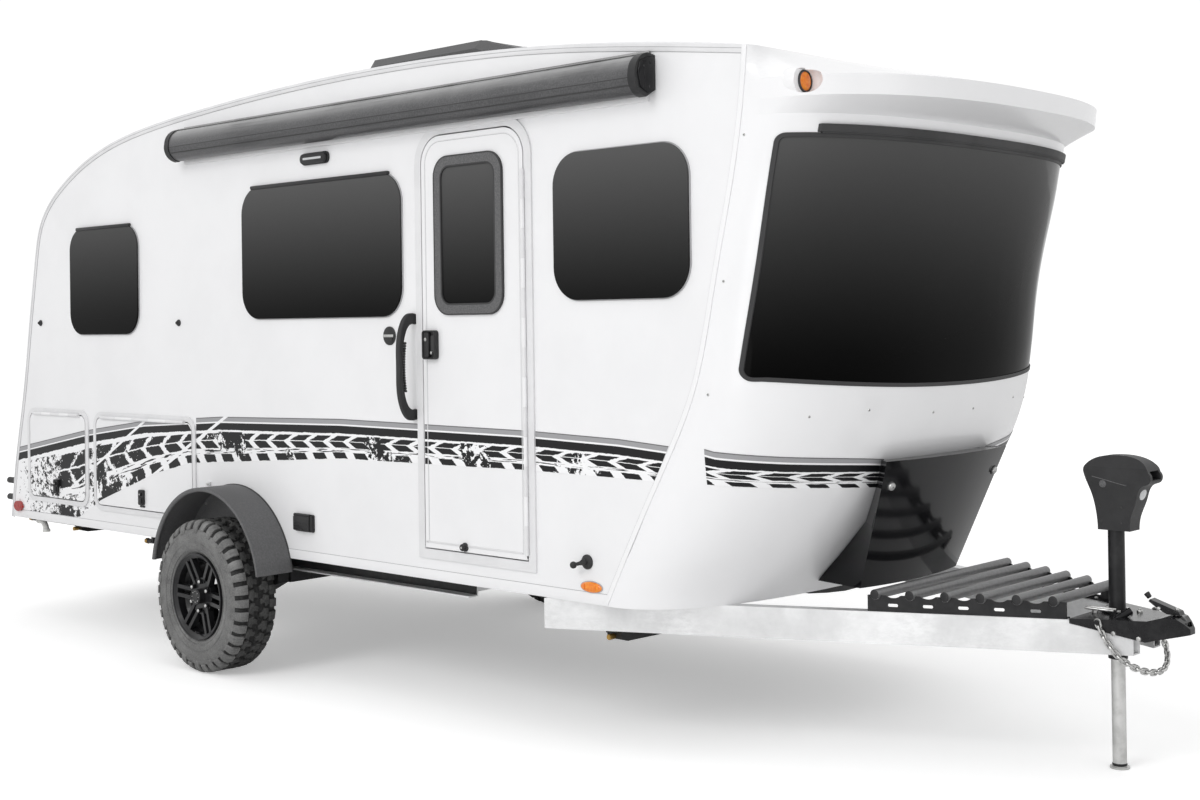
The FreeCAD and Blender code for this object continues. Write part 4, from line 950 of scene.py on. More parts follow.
class Finishes:
    """Every finish of the trailer, by name."""

    def __init__(self) -> None:
        """Build the materials."""
        fx = Effects()

        def plain(*sizes: object, **rest: object) -> Material:
            """Material of a finish."""
            return Finish(*sizes, **rest).make(fx)

        self.shell = plain("white_gelcoat", (0.85, 0.85, 0.86), (0.82, 0.82, 0.83), 0.3, 1.2, coat=0.35)
        self.paint = plain("white_enamel", (0.83, 0.83, 0.84), (0.8, 0.8, 0.81), 0.36, 2.0, coat=0.2,
                           grain=(0.02, 260))
        self.trim = plain("white_moulding", (0.74, 0.74, 0.75), None, 0.42, 6)
        self.gap = plain("grey_sealant", (0.42, 0.42, 0.43), None, 0.6, 9)
        self.rubber = plain("weather_rubber", (0.03, 0.03, 0.031), rough=0.62, grain=(0.06, 500))
        self.plastic = plain("grained_plastic", (0.02, 0.02, 0.021), (0.032, 0.032, 0.033), 0.5, 9,
                             grain=(0.16, 420), specular=0.3)
        self.unit = plain("roof_unit_plastic", (0.05, 0.05, 0.052), (0.08, 0.08, 0.082), 0.55, 130,
                          grain=(0.3, 300))
        self.fender = plain("fender_plastic", (0.085, 0.085, 0.088), (0.12, 0.12, 0.122), 0.55, 120,
                            grain=(0.35, 300))
        self.frame_plastic = plain("window_frame_plastic", (0.07, 0.07, 0.072), (0.13, 0.13, 0.132), 0.5, 150,
                                   grain=(0.3, 380))
        self.gloss = plain("black_gloss", (0.006, 0.006, 0.007), (0.012, 0.012, 0.013), 0.1, 2.5,
                           specular=0.22)
        self.sidewall = plain("dusty_rubber", (0.085, 0.085, 0.085), (0.17, 0.17, 0.167), 0.78, 150,
                              grain=(0.4, 260), dust=0.8, dust_colour=(0.3, 0.3, 0.295))
        self.tread = plain("tread_rubber", (0.02, 0.02, 0.02), (0.06, 0.06, 0.059), 0.72, 120,
                           grain=(0.3, 220), dust=0.35, dust_colour=(0.17, 0.17, 0.165))
        # rubber between the tread blocks, darker than the dusty sidewall as painted shade in the grooves
        self.groove_painted_shade = plain("groove_rubber_painted_shade", (0.022, 0.022, 0.022), (0.045, 0.045, 0.045), 0.85, 60,
                            grain=(0.2, 220), specular=0.2)
        self.rim = plain("black_wheel_paint", (0.008, 0.008, 0.009), (0.014, 0.014, 0.015), 0.3, 20,
                         coat=0.1, specular=0.35)
        self.aluminium = plain("drawn_aluminium", (0.84, 0.843, 0.847), (0.6, 0.603, 0.607), 0.4, 3.2, 0.6,
                               streaks=0.2, grain=(0.02, 300))
        self.bar = plain("satin_grey_bar", (0.15, 0.15, 0.152), (0.2, 0.2, 0.202), 0.42, 60, 0.35,
                         grain=(0.05, 900))
        self.steel = plain("black_powder_coat", (0.012, 0.012, 0.013), (0.022, 0.022, 0.023), 0.38, 25,
                           grain=(0.09, 350), specular=0.27)
        self.coupler = plain("gloss_black_enamel", (0.006, 0.006, 0.007), (0.016, 0.016, 0.017), 0.2, 30,
                             grain=(0.04, 260), specular=0.28)
        # awning case: its upper part gets a painted highlight, a lighter grey
        self.awning = plain("anodised_grey_painted_highlight", (0.085, 0.085, 0.088), (0.13, 0.13, 0.133), 0.3, 150, 0.6,
                            streaks=0.2, fade=(2575, 2660, 0.33))
        self.galvanised = plain("zinc_coat", (0.6, 0.6, 0.59), (0.42, 0.42, 0.415), 0.32, 60, 0.9,
                                grain=(0.06, 900))
        self.leg = plain("zinc_tube", (0.66, 0.66, 0.65), (0.5, 0.5, 0.49), 0.45, 14, 0.6, grain=(0.1, 900))
        self.brass = plain("brass", (0.5, 0.31, 0.09), (0.28, 0.17, 0.05), 0.3, 80, 1.0)
        self.amber = plain("amber_lens", (0.78, 0.17, 0.004), (0.9, 0.3, 0.012), 0.14, 70, coat=0.3)
        self.red = plain("red_lens", (0.28, 0.01, 0.008), (0.4, 0.022, 0.016), 0.14, 70, coat=0.2)
        self.board = plain("underfloor_sheet", (0.1, 0.1, 0.1), (0.16, 0.16, 0.16), 0.7, 5, grain=(0.1, 900))
        self.clear = plain("lamp_cover", (0.55, 0.56, 0.57), None, 0.15, 60, coat=0.6)
        self.pipe = plain("white_pipe", (0.72, 0.72, 0.7), None, 0.35, 30)
        self.pale = plain("loom_cover", (0.55, 0.55, 0.54), None, 0.6, 40, grain=(0.1, 900))
        # both window finishes carry a painted sky reflection that lightens their upper part
        self.pano = TintedPaneWithPaintedReflection("wraparound_acrylic", 1390, 2320, 0.0008, 0.09, 2.0).make()
        self.panes = TintedPaneWithPaintedReflection("side_window_acrylic", 1640, 2330).make()
        self.band = TreadBand().make()


# ---------------------------------------------------------------- body


REAR_EDGE = [(-2316, 562), (-2259, 893), (-2165, 1260), (-2072, 1712), (-1995, 2080)]
ROOF_EDGE = [(-1995, 2080), (-1938, 2250), (-1845, 2358), (-1668, 2474), (-1307, 2617), (-722, 2718),
             (-255, 2755), (725, 2798), (1500, 2797), (2148, 2766), (3209, 2640)]
FRONT_EDGE = [(3209, 2640), (3188, 2444), (3128, 2122), (3047, 1787), (2945, 1400), (2793, 1104),
              (2663, 878), (2491, 562)]


def inset_line(line: np.ndarray, inset: float) -> np.ndarray:
    """Move a line of (x, z) points to its right hand side.

    Args:
        line: The points.
        inset: The distance.

    Returns:
        The moved points.
    """
    step = np.gradient(line, axis=0)
    step /= np.linalg.norm(step, axis=1)[:, None]
    return line + np.stack([step[:, 1], -step[:, 0]], axis=1) * inset


def edge_strip(line: np.ndarray, near: float, far: float, proud: float, bevel: float) -> Mesh:
    """Flat moulding on the right wall between two insets of an edge line.

    Args:
        line: Edge as (x, z) points, clockwise round the wall as seen from the right.
        near, far: Insets of its two edges.
        proud: Height above the wall.
        bevel: Rounding.

    Returns:
        The new shape.
    """
    outline = [tuple(p) for p in (*inset_line(line, near), *inset_line(line, far)[::-1])]
    return side_plate(outline, -HALF_W - proud, -HALF_W + 0.5, bevel)


def node_mesh(node: Object) -> Mesh:
    """Copy the mesh of a CAD node.

    Args:
        node: The node, which stays as it is.

    Returns:
        The copy, in axle millimetres.
    """
    bm = bmesh.new()
    bm.from_mesh(node.data)
    return turned(bm, ROW_TO_AXLE)


class CadSurface:
    """Surface of a CAD node, for pieces that lie on it."""

    def __init__(self, node: Object) -> None:
        """Read the node's mesh.

        Args:
            node: The CAD node.
        """
        bm = node_mesh(node)
        self.tree = BVHTree.FromBMesh(bm)
        bm.free()

    def hit(self, start: Point, along: Point) -> tuple[Vector, Vector]:
        """First point and outward normal where a ray meets the surface.

        Args:
            start: Where the ray starts, outside.
            along: Its direction.

        Returns:
            The point and the normal that faces the start.
        """
        point, normal, _, _ = self.tree.ray_cast(Vector(start), Vector(along).normalized())
        if point is None:
            point, normal, _, _ = self.tree.find_nearest(Vector(start))
        return point, -normal if normal.dot(Vector(along)) > 0 else normal

    def studs(self, piece: Piece, start: Point, along: Point, *rows: Sequence[object],
              side: Side | None = None) -> None:
        """Put round studs where a ray meets the surface.

        Args:
            piece: Piece that takes them.
            start, along: The ray.
            rows: For each, its material, its heights above the surface and the rod's other sizes.
            side: Which sides they go on, where the piece's own don't hold.
        """
        at, normal = self.hit(start, along)
        for finish, foot, top, *sizes in rows:
            piece.put(rod(at + normal * foot, at + normal * top, *sizes), finish, side)


@dataclass
class Shell:
    """Mouldings, screws and edges of the body."""

    finishes: Finishes
    cap: Object
    roof_band: Point = (1.0, 31.0)
    corner_band: Point = (0.5, 22.0)
    skirt_top: float = 606.0
    front_screws: tuple[Point, ...] = ((538, 1317), (150, 1290), (793, 1303))
    side_screws: tuple[Point, ...] = ((1019, 2319), (1019, 1799), (1016, 1388))
    catches: tuple[Point, ...] = ((-1940, 1693), (-498, 1681))
    port: Point = (1195, 0, 1609)

    def build(self) -> None:
        """Make every piece of the body's edges."""
        fin = self.finishes
        piece = Piece("edge_mouldings", "trailer", Slot.SHELL, Side.BOTH)
        over = np.concatenate([smooth_line(REAR_EDGE, 40), smooth_line(ROOF_EDGE, 120)[1:]])
        front = smooth_line(FRONT_EDGE, 60)
        for *sizes, finish in (
            (over, *self.roof_band, 3.0, 0.8, fin.trim),
            (over, 31.2, 33.0, 1.2, 0, fin.gap),
            (over, 13.0, 15.0, 3.6, 0, fin.gap),
            (front, *self.corner_band, 4.0, 1.5, fin.shell),
            (front, 22.4, 24.2, 0.8, 0, fin.gap),
        ):
            piece.put(edge_strip(*sizes), finish)
        top = self.skirt_top
        skirt = [(-2300, 562.5), (-2292, top), (2505, top), (2481, 562.5)]
        line = [(-2292, top + 0.5), (-2292, top + 2.2), (2506, top + 2.2), (2505, top + 0.5)]
        piece.put(side_plate(skirt, -HALF_W - 2.2, -HALF_W + 0.5, 0.8), fin.paint)
        piece.put(side_plate(line, -HALF_W - 0.8, -HALF_W + 0.5), fin.gap)
        piece.finish()
        self.screws()
        self.small_parts()

    def screws(self) -> None:
        """Screw heads, each with a dark disc on top as painted shade of its drive recess, round the cap."""
        fin = self.finishes
        cap = CadSurface(self.cap)
        piece = Piece("cap_screws", "trailer", Slot.ZINC, Side.BOTH)
        # second row: a small dark rubber disc on the head, painted shade of the screw's drive recess
        head = ((fin.galvanised, -1, 2.4, 6, 4.5, 12), (fin.rubber, 2.2, 2.7, 2.2, 2.2, 6))
        for _, z in self.side_screws:
            cap.studs(piece, (3190 - (2319 - z) * 0.2, -1400, z), INWARD, *head)
        for y, z in self.front_screws:
            cap.studs(piece, (4200, -y, z), REARWARD, *head)
        piece.finish()

    def small_parts(self) -> None:
        """Round catches, cable port and little fittings on the right wall."""
        fin = self.finishes
        piece = Piece("wall_buttons", "trailer", Slot.PLASTIC)
        y = -HALF_W
        catch = [(0.5, y), (17, y), (17, y - 4), (13, y - 9), (8, y - 10), (7, y - 17), (0.5, y - 18)]
        for x, z in self.catches:
            piece.put(lathe(catch, (x, 0, z), 24, False), fin.plastic)
        rim = [(0.5, y), (41, y), (41, y - 5), (36, y - 8), (0.5, y - 8)]
        piece.put(lathe(rim, self.port, 40, False), fin.plastic)
        piece.blocks(
            (fin.galvanised, (1162, y - 10.5, 1603), (1228, y - 8, 1615), 1),
            (fin.plastic, (1212, y - 12, 1588), (1224, y - 8, 1601), 1),
            (fin.trim, (-246, y - 12, 864), (-222, y + 1, 884), 3),
            (fin.galvanised, (-241, y - 20, 868), (-227, y - 11, 878), 2),
        )
        piece.finish()


def corners(x0: float, x1: float, z0: float, z1: float) -> list[Point]:
    """Corners of a rectangle, clockwise as seen from the right."""
    return [(x0, z1), (x1, z1), (x1, z0), (x0, z0)]


@dataclass
class TreadGraphic:
    """Printed band along both sides and round the front cap."""

    finishes: Finishes
    cap: Object
    share: tuple[float, ...] = (0.0, 0.115, 0.15, 0.29, 0.36, 0.5, 0.65, 0.8, 1.0)
    marks: tuple[float, ...] = (0.0, 0.115, 0.15, 0.29, 1.0)
    grey_top: tuple[Point, ...] = ((-2330, 950), (-2220, 971), (-1451, 1096), (-832, 1170), (-137, 1212),
                                   (830, 1232), (2015, 1225), (2559, 1210), (2860, 1190))
    black_low: tuple[Point, ...] = ((-2330, 872), (-2234, 894), (-1451, 1026), (-832, 1104), (-137, 1147),
                                    (829, 1165), (2005, 1163), (2558, 1149), (2860, 1130))
    tread_low: tuple[Point, ...] = ((-2330, 575), (-1800, 578), (-1525, 615), (-1275, 726), (-735, 897),
                                    (-403, 969), (826, 1051), (1993, 1064), (2556, 1060), (2860, 1056))
    cap_grey: tuple[Point, ...] = ((358, 1121), (439, 1129), (774, 1157), (1001, 1180), (1040, 1190))
    cap_black: tuple[Point, ...] = ((358, 1068), (427, 1074), (757, 1098), (990, 1119), (1040, 1130))
    cap_tread: tuple[Point, ...] = ((358, 1003), (978, 1052), (1040, 1056))
    cover_edge: tuple[Point, ...] = ((860, 268), (997, 344), (1119, 400))
    cap_ends: tuple[float, float] = (366.0, 1038.0)
    grey_share: float = 0.36
    white_gap: float = 7.0
    block_pitch: tuple[Point, Point] = ((-2200, -100), (235, 150))
    door_frame: float = 33.0
    door_corner: float = 34.0
    lift: float = 0.7
    cap_lift: float = 1.3

    def heights(self, lines: Sequence[Sequence[Point]], at: float) -> list[float]:
        """Height of each row of the band at one place along it.

        Args:
            lines: Top of the grey stripe, foot of the black one, foot of the tread rows.
            at: The place.

        Returns:
            One height for each entry of share.
        """
        top, black, low = (float(np.interp(at, *zip(*line))) for line in lines)
        grey = top - (top - black) * self.grey_share
        return list(np.interp(self.share, self.marks, [top, grey, grey - self.white_gap, black, low]))

    def along(self, x: Sequence[float]) -> list[float]:
        """Count tread blocks, which grow towards the rear.

        Args:
            x: Places along the band.

        Returns:
            The number of blocks up to each place.
        """
        grid = np.linspace(-2400, 4200, 1200)
        pitch = np.interp(grid, *self.block_pitch)
        run = np.concatenate([[0.0], np.cumsum(np.diff(grid) / pitch[1:])])
        return list(np.interp(x, grid, run))

    def sheet(self, columns: Sequence[float], lines: Sequence[Sequence[Point]],
              place: Callable[[float, float], Vector], where: Sequence[float]) -> Mesh:
        """Grid of the band.

        Args:
            columns: Places along the band, as the lines count them.
            lines: The three lines.
            place: Gives the point for a column and a height.
            where: Place of each column in tread blocks.

        Returns:
            The grid, with its UV map.
        """
        bm = bmesh.new()
        across, rows = len(columns), len(self.share)
        bmesh.ops.create_grid(bm, x_segments=across - 1, y_segments=rows - 1, size=1.0)
        layer = bm.loops.layers.uv.new("band")
        keys = {}
        for v in bm.verts:
            i = round((v.co.x + 1) / 2 * (across - 1))
            j = round((1 - v.co.y) / 2 * (rows - 1))
            keys[v] = (where[i], self.share[j])
            v.co = place(columns[i], self.heights(lines, columns[i])[j])
        for face in bm.faces:
            for loop in face.loops:
                loop[layer].uv = keys[loop.vert]
        bmesh.ops.recalc_face_normals(bm, faces=bm.faces)
        if sum(f.normal.y for f in bm.faces) > 0:
            bmesh.ops.reverse_faces(bm, faces=bm.faces)
        return bm

    @staticmethod
    def kept(bm: Mesh, outline: Sequence[Point]) -> Mesh:
        """Cut a copy of a sheet on the wall.

        Args:
            bm: The sheet.
            outline: Convex (x, z) outline, clockwise as seen from the right.

        Returns:
            What lies inside the outline.
        """
        bm = bm.copy()
        for (xa, za), (xb, zb) in zip(outline, [*outline[1:], outline[0]]):
            bmesh.ops.bisect_plane(bm, geom=bm.verts[:] + bm.edges[:] + bm.faces[:], dist=0.001,
                                   plane_co=(xa, 0, za), plane_no=(za - zb, 0, xb - xa), clear_outer=True)
        return bm

    def panel(self, piece: Piece, proud: float, outlines: Sequence[Sequence[Point]]) -> None:
        """Make the band on one flat panel.

        Args:
            piece: The empty piece.
            proud: Height of the panel above the wall.
            outlines: The parts of the band that are kept.
        """
        y = -HALF_W - proud - self.lift
        columns = list(np.linspace(-2330, 2860, 150))
        lines = (self.grey_top, self.black_low, self.tread_low)
        whole = self.sheet(columns, lines, lambda x, z: Vector((x, y, z)), self.along(columns))
        for outline in outlines:
            piece.put(self.kept(whole, outline), self.finishes.band)
        piece.finish()
        whole.free()

    def build(self) -> None:
        """Make the band on the walls, the doors and the cap."""
        rear = [
            [(-2229, 1000), (-2100, 1000), (-2100, 609), (-2295, 609)],
            corners(-2100, -1414, 609, 672),
            corners(-1414, -1356, 609, 1300),
        ]
        right = [corners(-351, 1385, 609, 1300), [(2105, 1300), (2864, 1290), (2734, 1045), (2105, 1045)]]
        left = [[(-1356, 1300), (2820, 1300), (2734, 1045), (-1356, 609)]]
        self.panel(Piece("band_wall_right", "trailer", Slot.SHELL), 0, rear + right)
        self.panel(Piece("band_wall_left", "trailer", Slot.SHELL, Side.LEFT), 0, rear + left)
        for body, frame, side in BAGGAGE_DOORS:
            w, c = self.door_frame, self.door_corner
            x0, x1, z0, z1 = np.add(frame, (w, -w, w, -w))
            outline = [(x0, z1 - c), (x0 + c, z1), (x1 - c, z1), (x1, z1 - c),
                       (x1, z0 + c), (x1 - c, z0), (x0 + c, z0), (x0, z0 + c)]
            self.panel(Piece("band_" + body, body, Slot.FRAME, side), BAGGAGE_PROUD, [outline])
        door = Piece("band_entry_door", "entry_door_leaf", Slot.FRAME)
        self.panel(door, LEAF_PROUD, [corners(1433, 2050, 900, 1300)])
        self.cap_band()

    def cap_point(self, cap: CadSurface, y: float, z: float) -> Vector:
        """Place a point of the band on the cap.

        Args:
            cap: The cap's surface.
            y: Place across the cap, from the nose cover to the corner.
            z: Height.

        Returns:
            The point.
        """
        near, far = self.cap_ends
        seat = float(np.interp(z, *zip(*self.cover_edge)))
        y = seat + (y - near) * (far - seat) / (far - near)
        aim = Vector((2700, -y * 0.25, z))
        out = Vector((3050 + 900 * math.cos(y / 1040 * 1.45), -y * 1.5, z))
        point, normal = cap.hit(out, aim - out)
        return point + normal * self.cap_lift

    def cap_band(self) -> None:
        """Make the band round the cap, from the corner to the nose cover."""
        near, far = self.cap_ends
        place = partial(self.cap_point, CadSurface(self.cap))
        columns = list(far - (far - near) * np.linspace(0, 1, 56)**1.6)
        points = np.array([place(y, 1100.0) for y in columns])
        run = np.concatenate([[0.0], np.cumsum(np.linalg.norm(np.diff(points, axis=0), axis=1))])
        lines = (self.cap_grey, self.cap_black, self.cap_tread)
        piece = Piece("band_cap", "trailer", Slot.SHELL, Side.BOTH)
        piece.put(self.sheet(columns, lines, place, self.along(2805 + run)), self.finishes.band)
        piece.finish(60)


@dataclass
class Windows:
    """Gaskets and hinge rails of the windows."""

    finishes: Finishes
    rail: Object
    panes: tuple[tuple[float, ...], ...] = ((-1578, -876, 1626, 2206, 120), (90, 1290, 1694, 2326, 130),
                                            (2234, 2933, 1745, 2324, 130))

    def build(self) -> None:
        """Make the trims of every side window, and the filler below the top rail of the front one."""
        fin = self.finishes
        y = -HALF_W
        piece = Piece("window_gaskets", "trailer", Slot.RUBBER, Side.BOTH)
        for x0, x1, z0, z1, r in self.panes:
            rect = (x0 - 5, x1 + 5, z0 - 5, z1 + 5)
            piece.put(rect_ring(rect, (r + 5, r - 1), 6, (y - 5, y + 0.3), 1.2, 12), fin.gap)
        for x0, x1, _, z1, r in self.panes[:2]:
            inset = r * 0.62
            piece.blocks((fin.plastic, (x0 + inset, y - 20, z1 - 9), (x1 - inset, y + 0.5, z1 + 9), 5))
        front = CadSurface(self.rail)
        foot = [front.hit((4200, across, 2323), REARWARD)[0] for across in np.linspace(-896, 896, 57)]
        filler = sweep([tuple(p + Vector((-9, 0, -3.5))) for p in foot], 5.5)
        piece.put(filler, fin.rubber, Side.RIGHT)
        piece.finish()


@dataclass
class EntryDoor:
    """Panel lines, window trim, lock and bumper of the entry door."""

    finishes: Finishes
    x0: float = 1431.0
    x1: float = 2059.0
    z0: float = 701.0
    z1: float = 2459.0
    radius: float = 119.0
    face_y: float = -HALF_W - LEAF_PROUD
    bumper: Point = (1684, 0, 722)

    def outline(self, inset: float) -> list[Point]:
        """Outline of the leaf, with its two round top corners, moved in.

        Args:
            inset: The distance.

        Returns:
            The points, anticlockwise.
        """
        x0, x1, z0 = self.x0 + inset, self.x1 - inset, self.z0 + inset
        full = rounded_rect(x0, x1, z0, self.z1 - inset, self.radius - inset, 12)
        return full[:26] + [(x0, z0), (x1, z0)]

    def build(self) -> None:
        """Make the leaf's trims and fittings."""
        fin = self.finishes
        y = self.face_y
        x0, x1, z0 = self.x0 + 4, self.x1 - 30, self.z0
        leaf = Piece("entry_door_trim", "entry_door_leaf", Slot.FRAME)
        leaf.put(ring_plate(self.outline(20), self.outline(24), y - 1.2, y + 0.5, 0.4), fin.trim)
        leaf.put(ring_plate(self.outline(24), self.outline(25.5), y - 0.5, y + 0.5), fin.gap)
        leaf.blocks(
            (fin.trim, (x0, y - 3, z0 + 24), (x1, y + 0.5, z0 + 30), 1.4),
            (fin.gap, (x0, y - 0.8, z0 + 21.5), (x1, y + 0.5, z0 + 24)),
            (fin.rubber, (self.x1 - 1, y - 2, 1110), (self.x1 + 3, y + 0.5, 1400)),
            (fin.rubber, (self.x1 - 1, y - 2, z0 + 6), (self.x1 + 3, y + 0.5, 790)),
        )
        leaf.finish()
        trim = Piece("door_window_trim", "entry_door_leaf", Slot.PLASTIC)
        trim.put(rect_ring((1518, 1944, 1695, 2370), (87, 81), 6, (y - 10.8, y + 1), 0.6, 10), fin.rubber)
        trim.put(rect_ring((1560, 1902, 1737, 2328), (55, 48), 7, (y - 10.6, y - 2), 0.5, 10), fin.rubber)
        trim.finish()
        self.lock()

    def lock(self) -> None:
        """Latch plate with its paddle and two round cylinders, and the bumper knob."""
        fin = self.finishes
        y = self.face_y
        piece = Piece("door_lock", "entry_door_leaf", Slot.PLASTIC)
        piece.put(rect_ring((1448, 1532, 1508, 1632), (15, 10), 7, (y - 25, y), 2, 6), fin.plastic)
        piece.pads(
            y,
            (fin.gloss, (1452, 1528, 1512, 1628, 12, 6), 12, 0, 0),
            (fin.plastic, (1456, 1489, 1516, 1624, 8, 5), 22, 10, 3),
            (fin.rubber, (1494, 1523, 1530, 1610, 8, 5), 15, 10, 2),
        )
        for x, z, r in ((1469, 1593, 8), (1507, 1536, 6.5)):
            piece.rods((fin.galvanised, (x, y - 10, z), (x, y - 24, z), r, r, 20, 1))
        knob = [(0.5, y), (19, y), (19, y - 4), (13, y - 7), (12, y - 13), (15, y - 19), (12, y - 23),
                (0.5, y - 24)]
        piece.put(lathe(knob, self.bumper, 28, False), fin.plastic)
        x, _, z = self.bumper
        piece.rods((fin.galvanised, (x, y - 22, z), (x, y - 24.6, z), 5, 5, 12))
        piece.finish(replaces=["door_fittings"])


@dataclass
class WallFittings:
    """Grab handle's grip, door holdback, porch light and power inlet of the right wall."""

    finishes: Finishes
    ribs: int = 19
    rib_foot: float = 1372.0
    rib_pitch: float = 11.4
    grip_middle: float = 1475.0
    grip_half: float = 140.0
    grip_reach: float = 70.0
    grip_bow: float = 14.0
    holdback: Point = (2385, 0, 724)

    def build(self) -> None:
        """Make the fittings of the right wall."""
        self.grip()
        fin = self.finishes
        y = -HALF_W
        piece = Piece("wall_fittings_detail", "trailer", Slot.PLASTIC)
        post = [(0.5, y), (29, y), (29, y - 5), (24, y - 10), (11, y - 13), (9, y - 40), (0.5, y - 42)]
        piece.put(lathe(post, self.holdback, 28, False), fin.plastic)
        piece.rods((fin.plastic, (2385, y - 34, 724), (2352, y - 44, 715), 8, 6.5, 16))
        piece.put(ball((2350, y - 44, 714), (14, 14, 14), 10), fin.plastic)
        piece.rods((fin.plastic, (2385, y - 34, 724), (2398, y - 40, 730), 9, 11, 16, 2))
        piece.pads(
            y,
            (fin.plastic, (571, 779, 2404, 2460, 25), 9, 0, 2),
            (fin.plastic, (578, 772, 2408, 2456, 22), 24, 8, 6),
            (fin.clear, (606, 744, 2426, 2437, 5, 6), 26.5, 22, 2),
            (fin.plastic, (485, 631, 697, 779, 8, 5), 8, 0, 2),
            (fin.plastic, (491, 612, 703, 771, 6, 5), 24, 7, 4),
            (fin.plastic, (614, 628, 700, 776, 4, 4), 18, 7, 2),
        )
        for z in (714, 726, 738):
            piece.blocks((fin.plastic, (498, y - 26, z), (604, y - 23, z + 5), 1))
        piece.blocks((fin.plastic, (535, y - 29, 703), (568, y - 22, 712), 2))
        piece.rods((fin.plastic, (491, y - 13, 775), (612, y - 13, 775), 7, 7, 14))
        piece.finish(replaces=["wall_fittings"])

    def grip(self) -> None:
        """Ribs and screws of the grab handle."""
        fin = self.finishes
        y = -HALF_W
        piece = Piece("handle_grip", "trailer", Slot.PLASTIC)
        for i in range(self.ribs):
            z = self.rib_foot + i * self.rib_pitch
            out = y - self.grip_reach + self.grip_bow * ((z - self.grip_middle) / self.grip_half) ** 2
            piece.rods((fin.plastic, (1347.4, out, z), (1376.6, out, z), 5.6, 5.6, 12))
        for z in (1270, 1680):
            for x in (1356, 1368):
                piece.rods((fin.galvanised, (x, y - 36, z), (x, y - 43.5, z), 4.5, 4.0, 12))
        piece.finish()


@dataclass
class BaggageDoors:
    """Latches of the baggage doors."""

    finishes: Finishes
    latch_height: float = 98.0

    def build(self) -> None:
        """Dress every baggage door."""
        fin = self.finishes
        y = -HALF_W - BAGGAGE_PROUD
        for body, (x0, x1, z0, _), side in BAGGAGE_DOORS:
            piece = Piece(body + "_latch", body, Slot.PLASTIC, side)
            x, z = (x0 + x1) / 2, z0 + self.latch_height
            rim = rect_ring((x - 23, x + 23, z - 40, z + 40), (10, 7), 5, (y - 16, y), 2, 5)
            piece.put(rim, fin.plastic)
            piece.pads(
                y,
                (fin.gloss, (x - 19, x + 19, z - 36, z + 36, 7, 5), 14.6, 10, 0),
                (fin.plastic, (x - 14, x + 14, z - 31, z - 2, 5, 5), 20, 12, 3),
                (fin.plastic, (x - 23, x + 23, z - 53, z - 43, 4, 4), 5, 0, 1.5),
            )
            z += 17
            piece.rods((fin.plastic, (x, y - 12, z), (x, y - 21, z), 10, 9, 20, 1.5),
                       (fin.galvanised, (x, y - 20, z), (x, y - 22, z), 4.5, 4.5, 14))
            piece.finish()


@dataclass
class Awning:
    """Lines and end caps of the awning's case."""

    finishes: Finishes
    x0: float = -430.0
    x1: float = 2772.0
    z0: float = 2497.0
    z1: float = 2657.0
    depth: float = 112.0

    def build(self) -> None:
        """Make the awning's trims."""
        fin = self.finishes
        z0, z1 = self.z0, self.z1
        piece = Piece("awning_trim", "trailer", Slot.AWNING)
        for finish, inset, near, far, low, high, bevel in (
            (fin.rubber, 36, self.depth + 1.4, self.depth - 6, z1 - 96, z1 - 92, 1),
            (fin.rubber, 36, self.depth - 4, self.depth - 12, z0 + 34, z0 + 38, 1),
            (fin.awning, 36, 60, 20, z1 - 4, z1 + 1.5, 1.4),
            (fin.awning, 20, 13, 0, z1 - 4, z1 + 16, 2),
            (fin.trim, 30, 22, 0, z0 - 13, z0 + 14, 3),
        ):
            first, last = (self.x0 + inset, -HALF_W - near, low), (self.x1 - inset, -HALF_W - far, high)
            piece.blocks((finish, first, last, bevel))
        piece.finish()
        caps = Piece("awning_end_trim", "trailer", Slot.PLASTIC)
        outline = ((-8, z0 + 24), (-46, z0 + 10), (-88, z0 + 30), (-101, z0 + 84), (-88, z1 - 30),
                   (-40, z1 - 10), (-8, z1 - 14))
        for x, way in ((self.x0, -1), (self.x1, 1)):
            caps.put(push([(x, -HALF_W + y, z) for y, z in outline], (way * 5, 0, 0), 2), fin.gloss)
            for y, z in ((-40, z0 + 36), (-70, z1 - 50), (-30, z1 - 34)):
                caps.rods((fin.plastic, (x, -HALF_W + y, z), (x + way * 7, -HALF_W + y, z), 5, 4, 12))
        caps.finish()


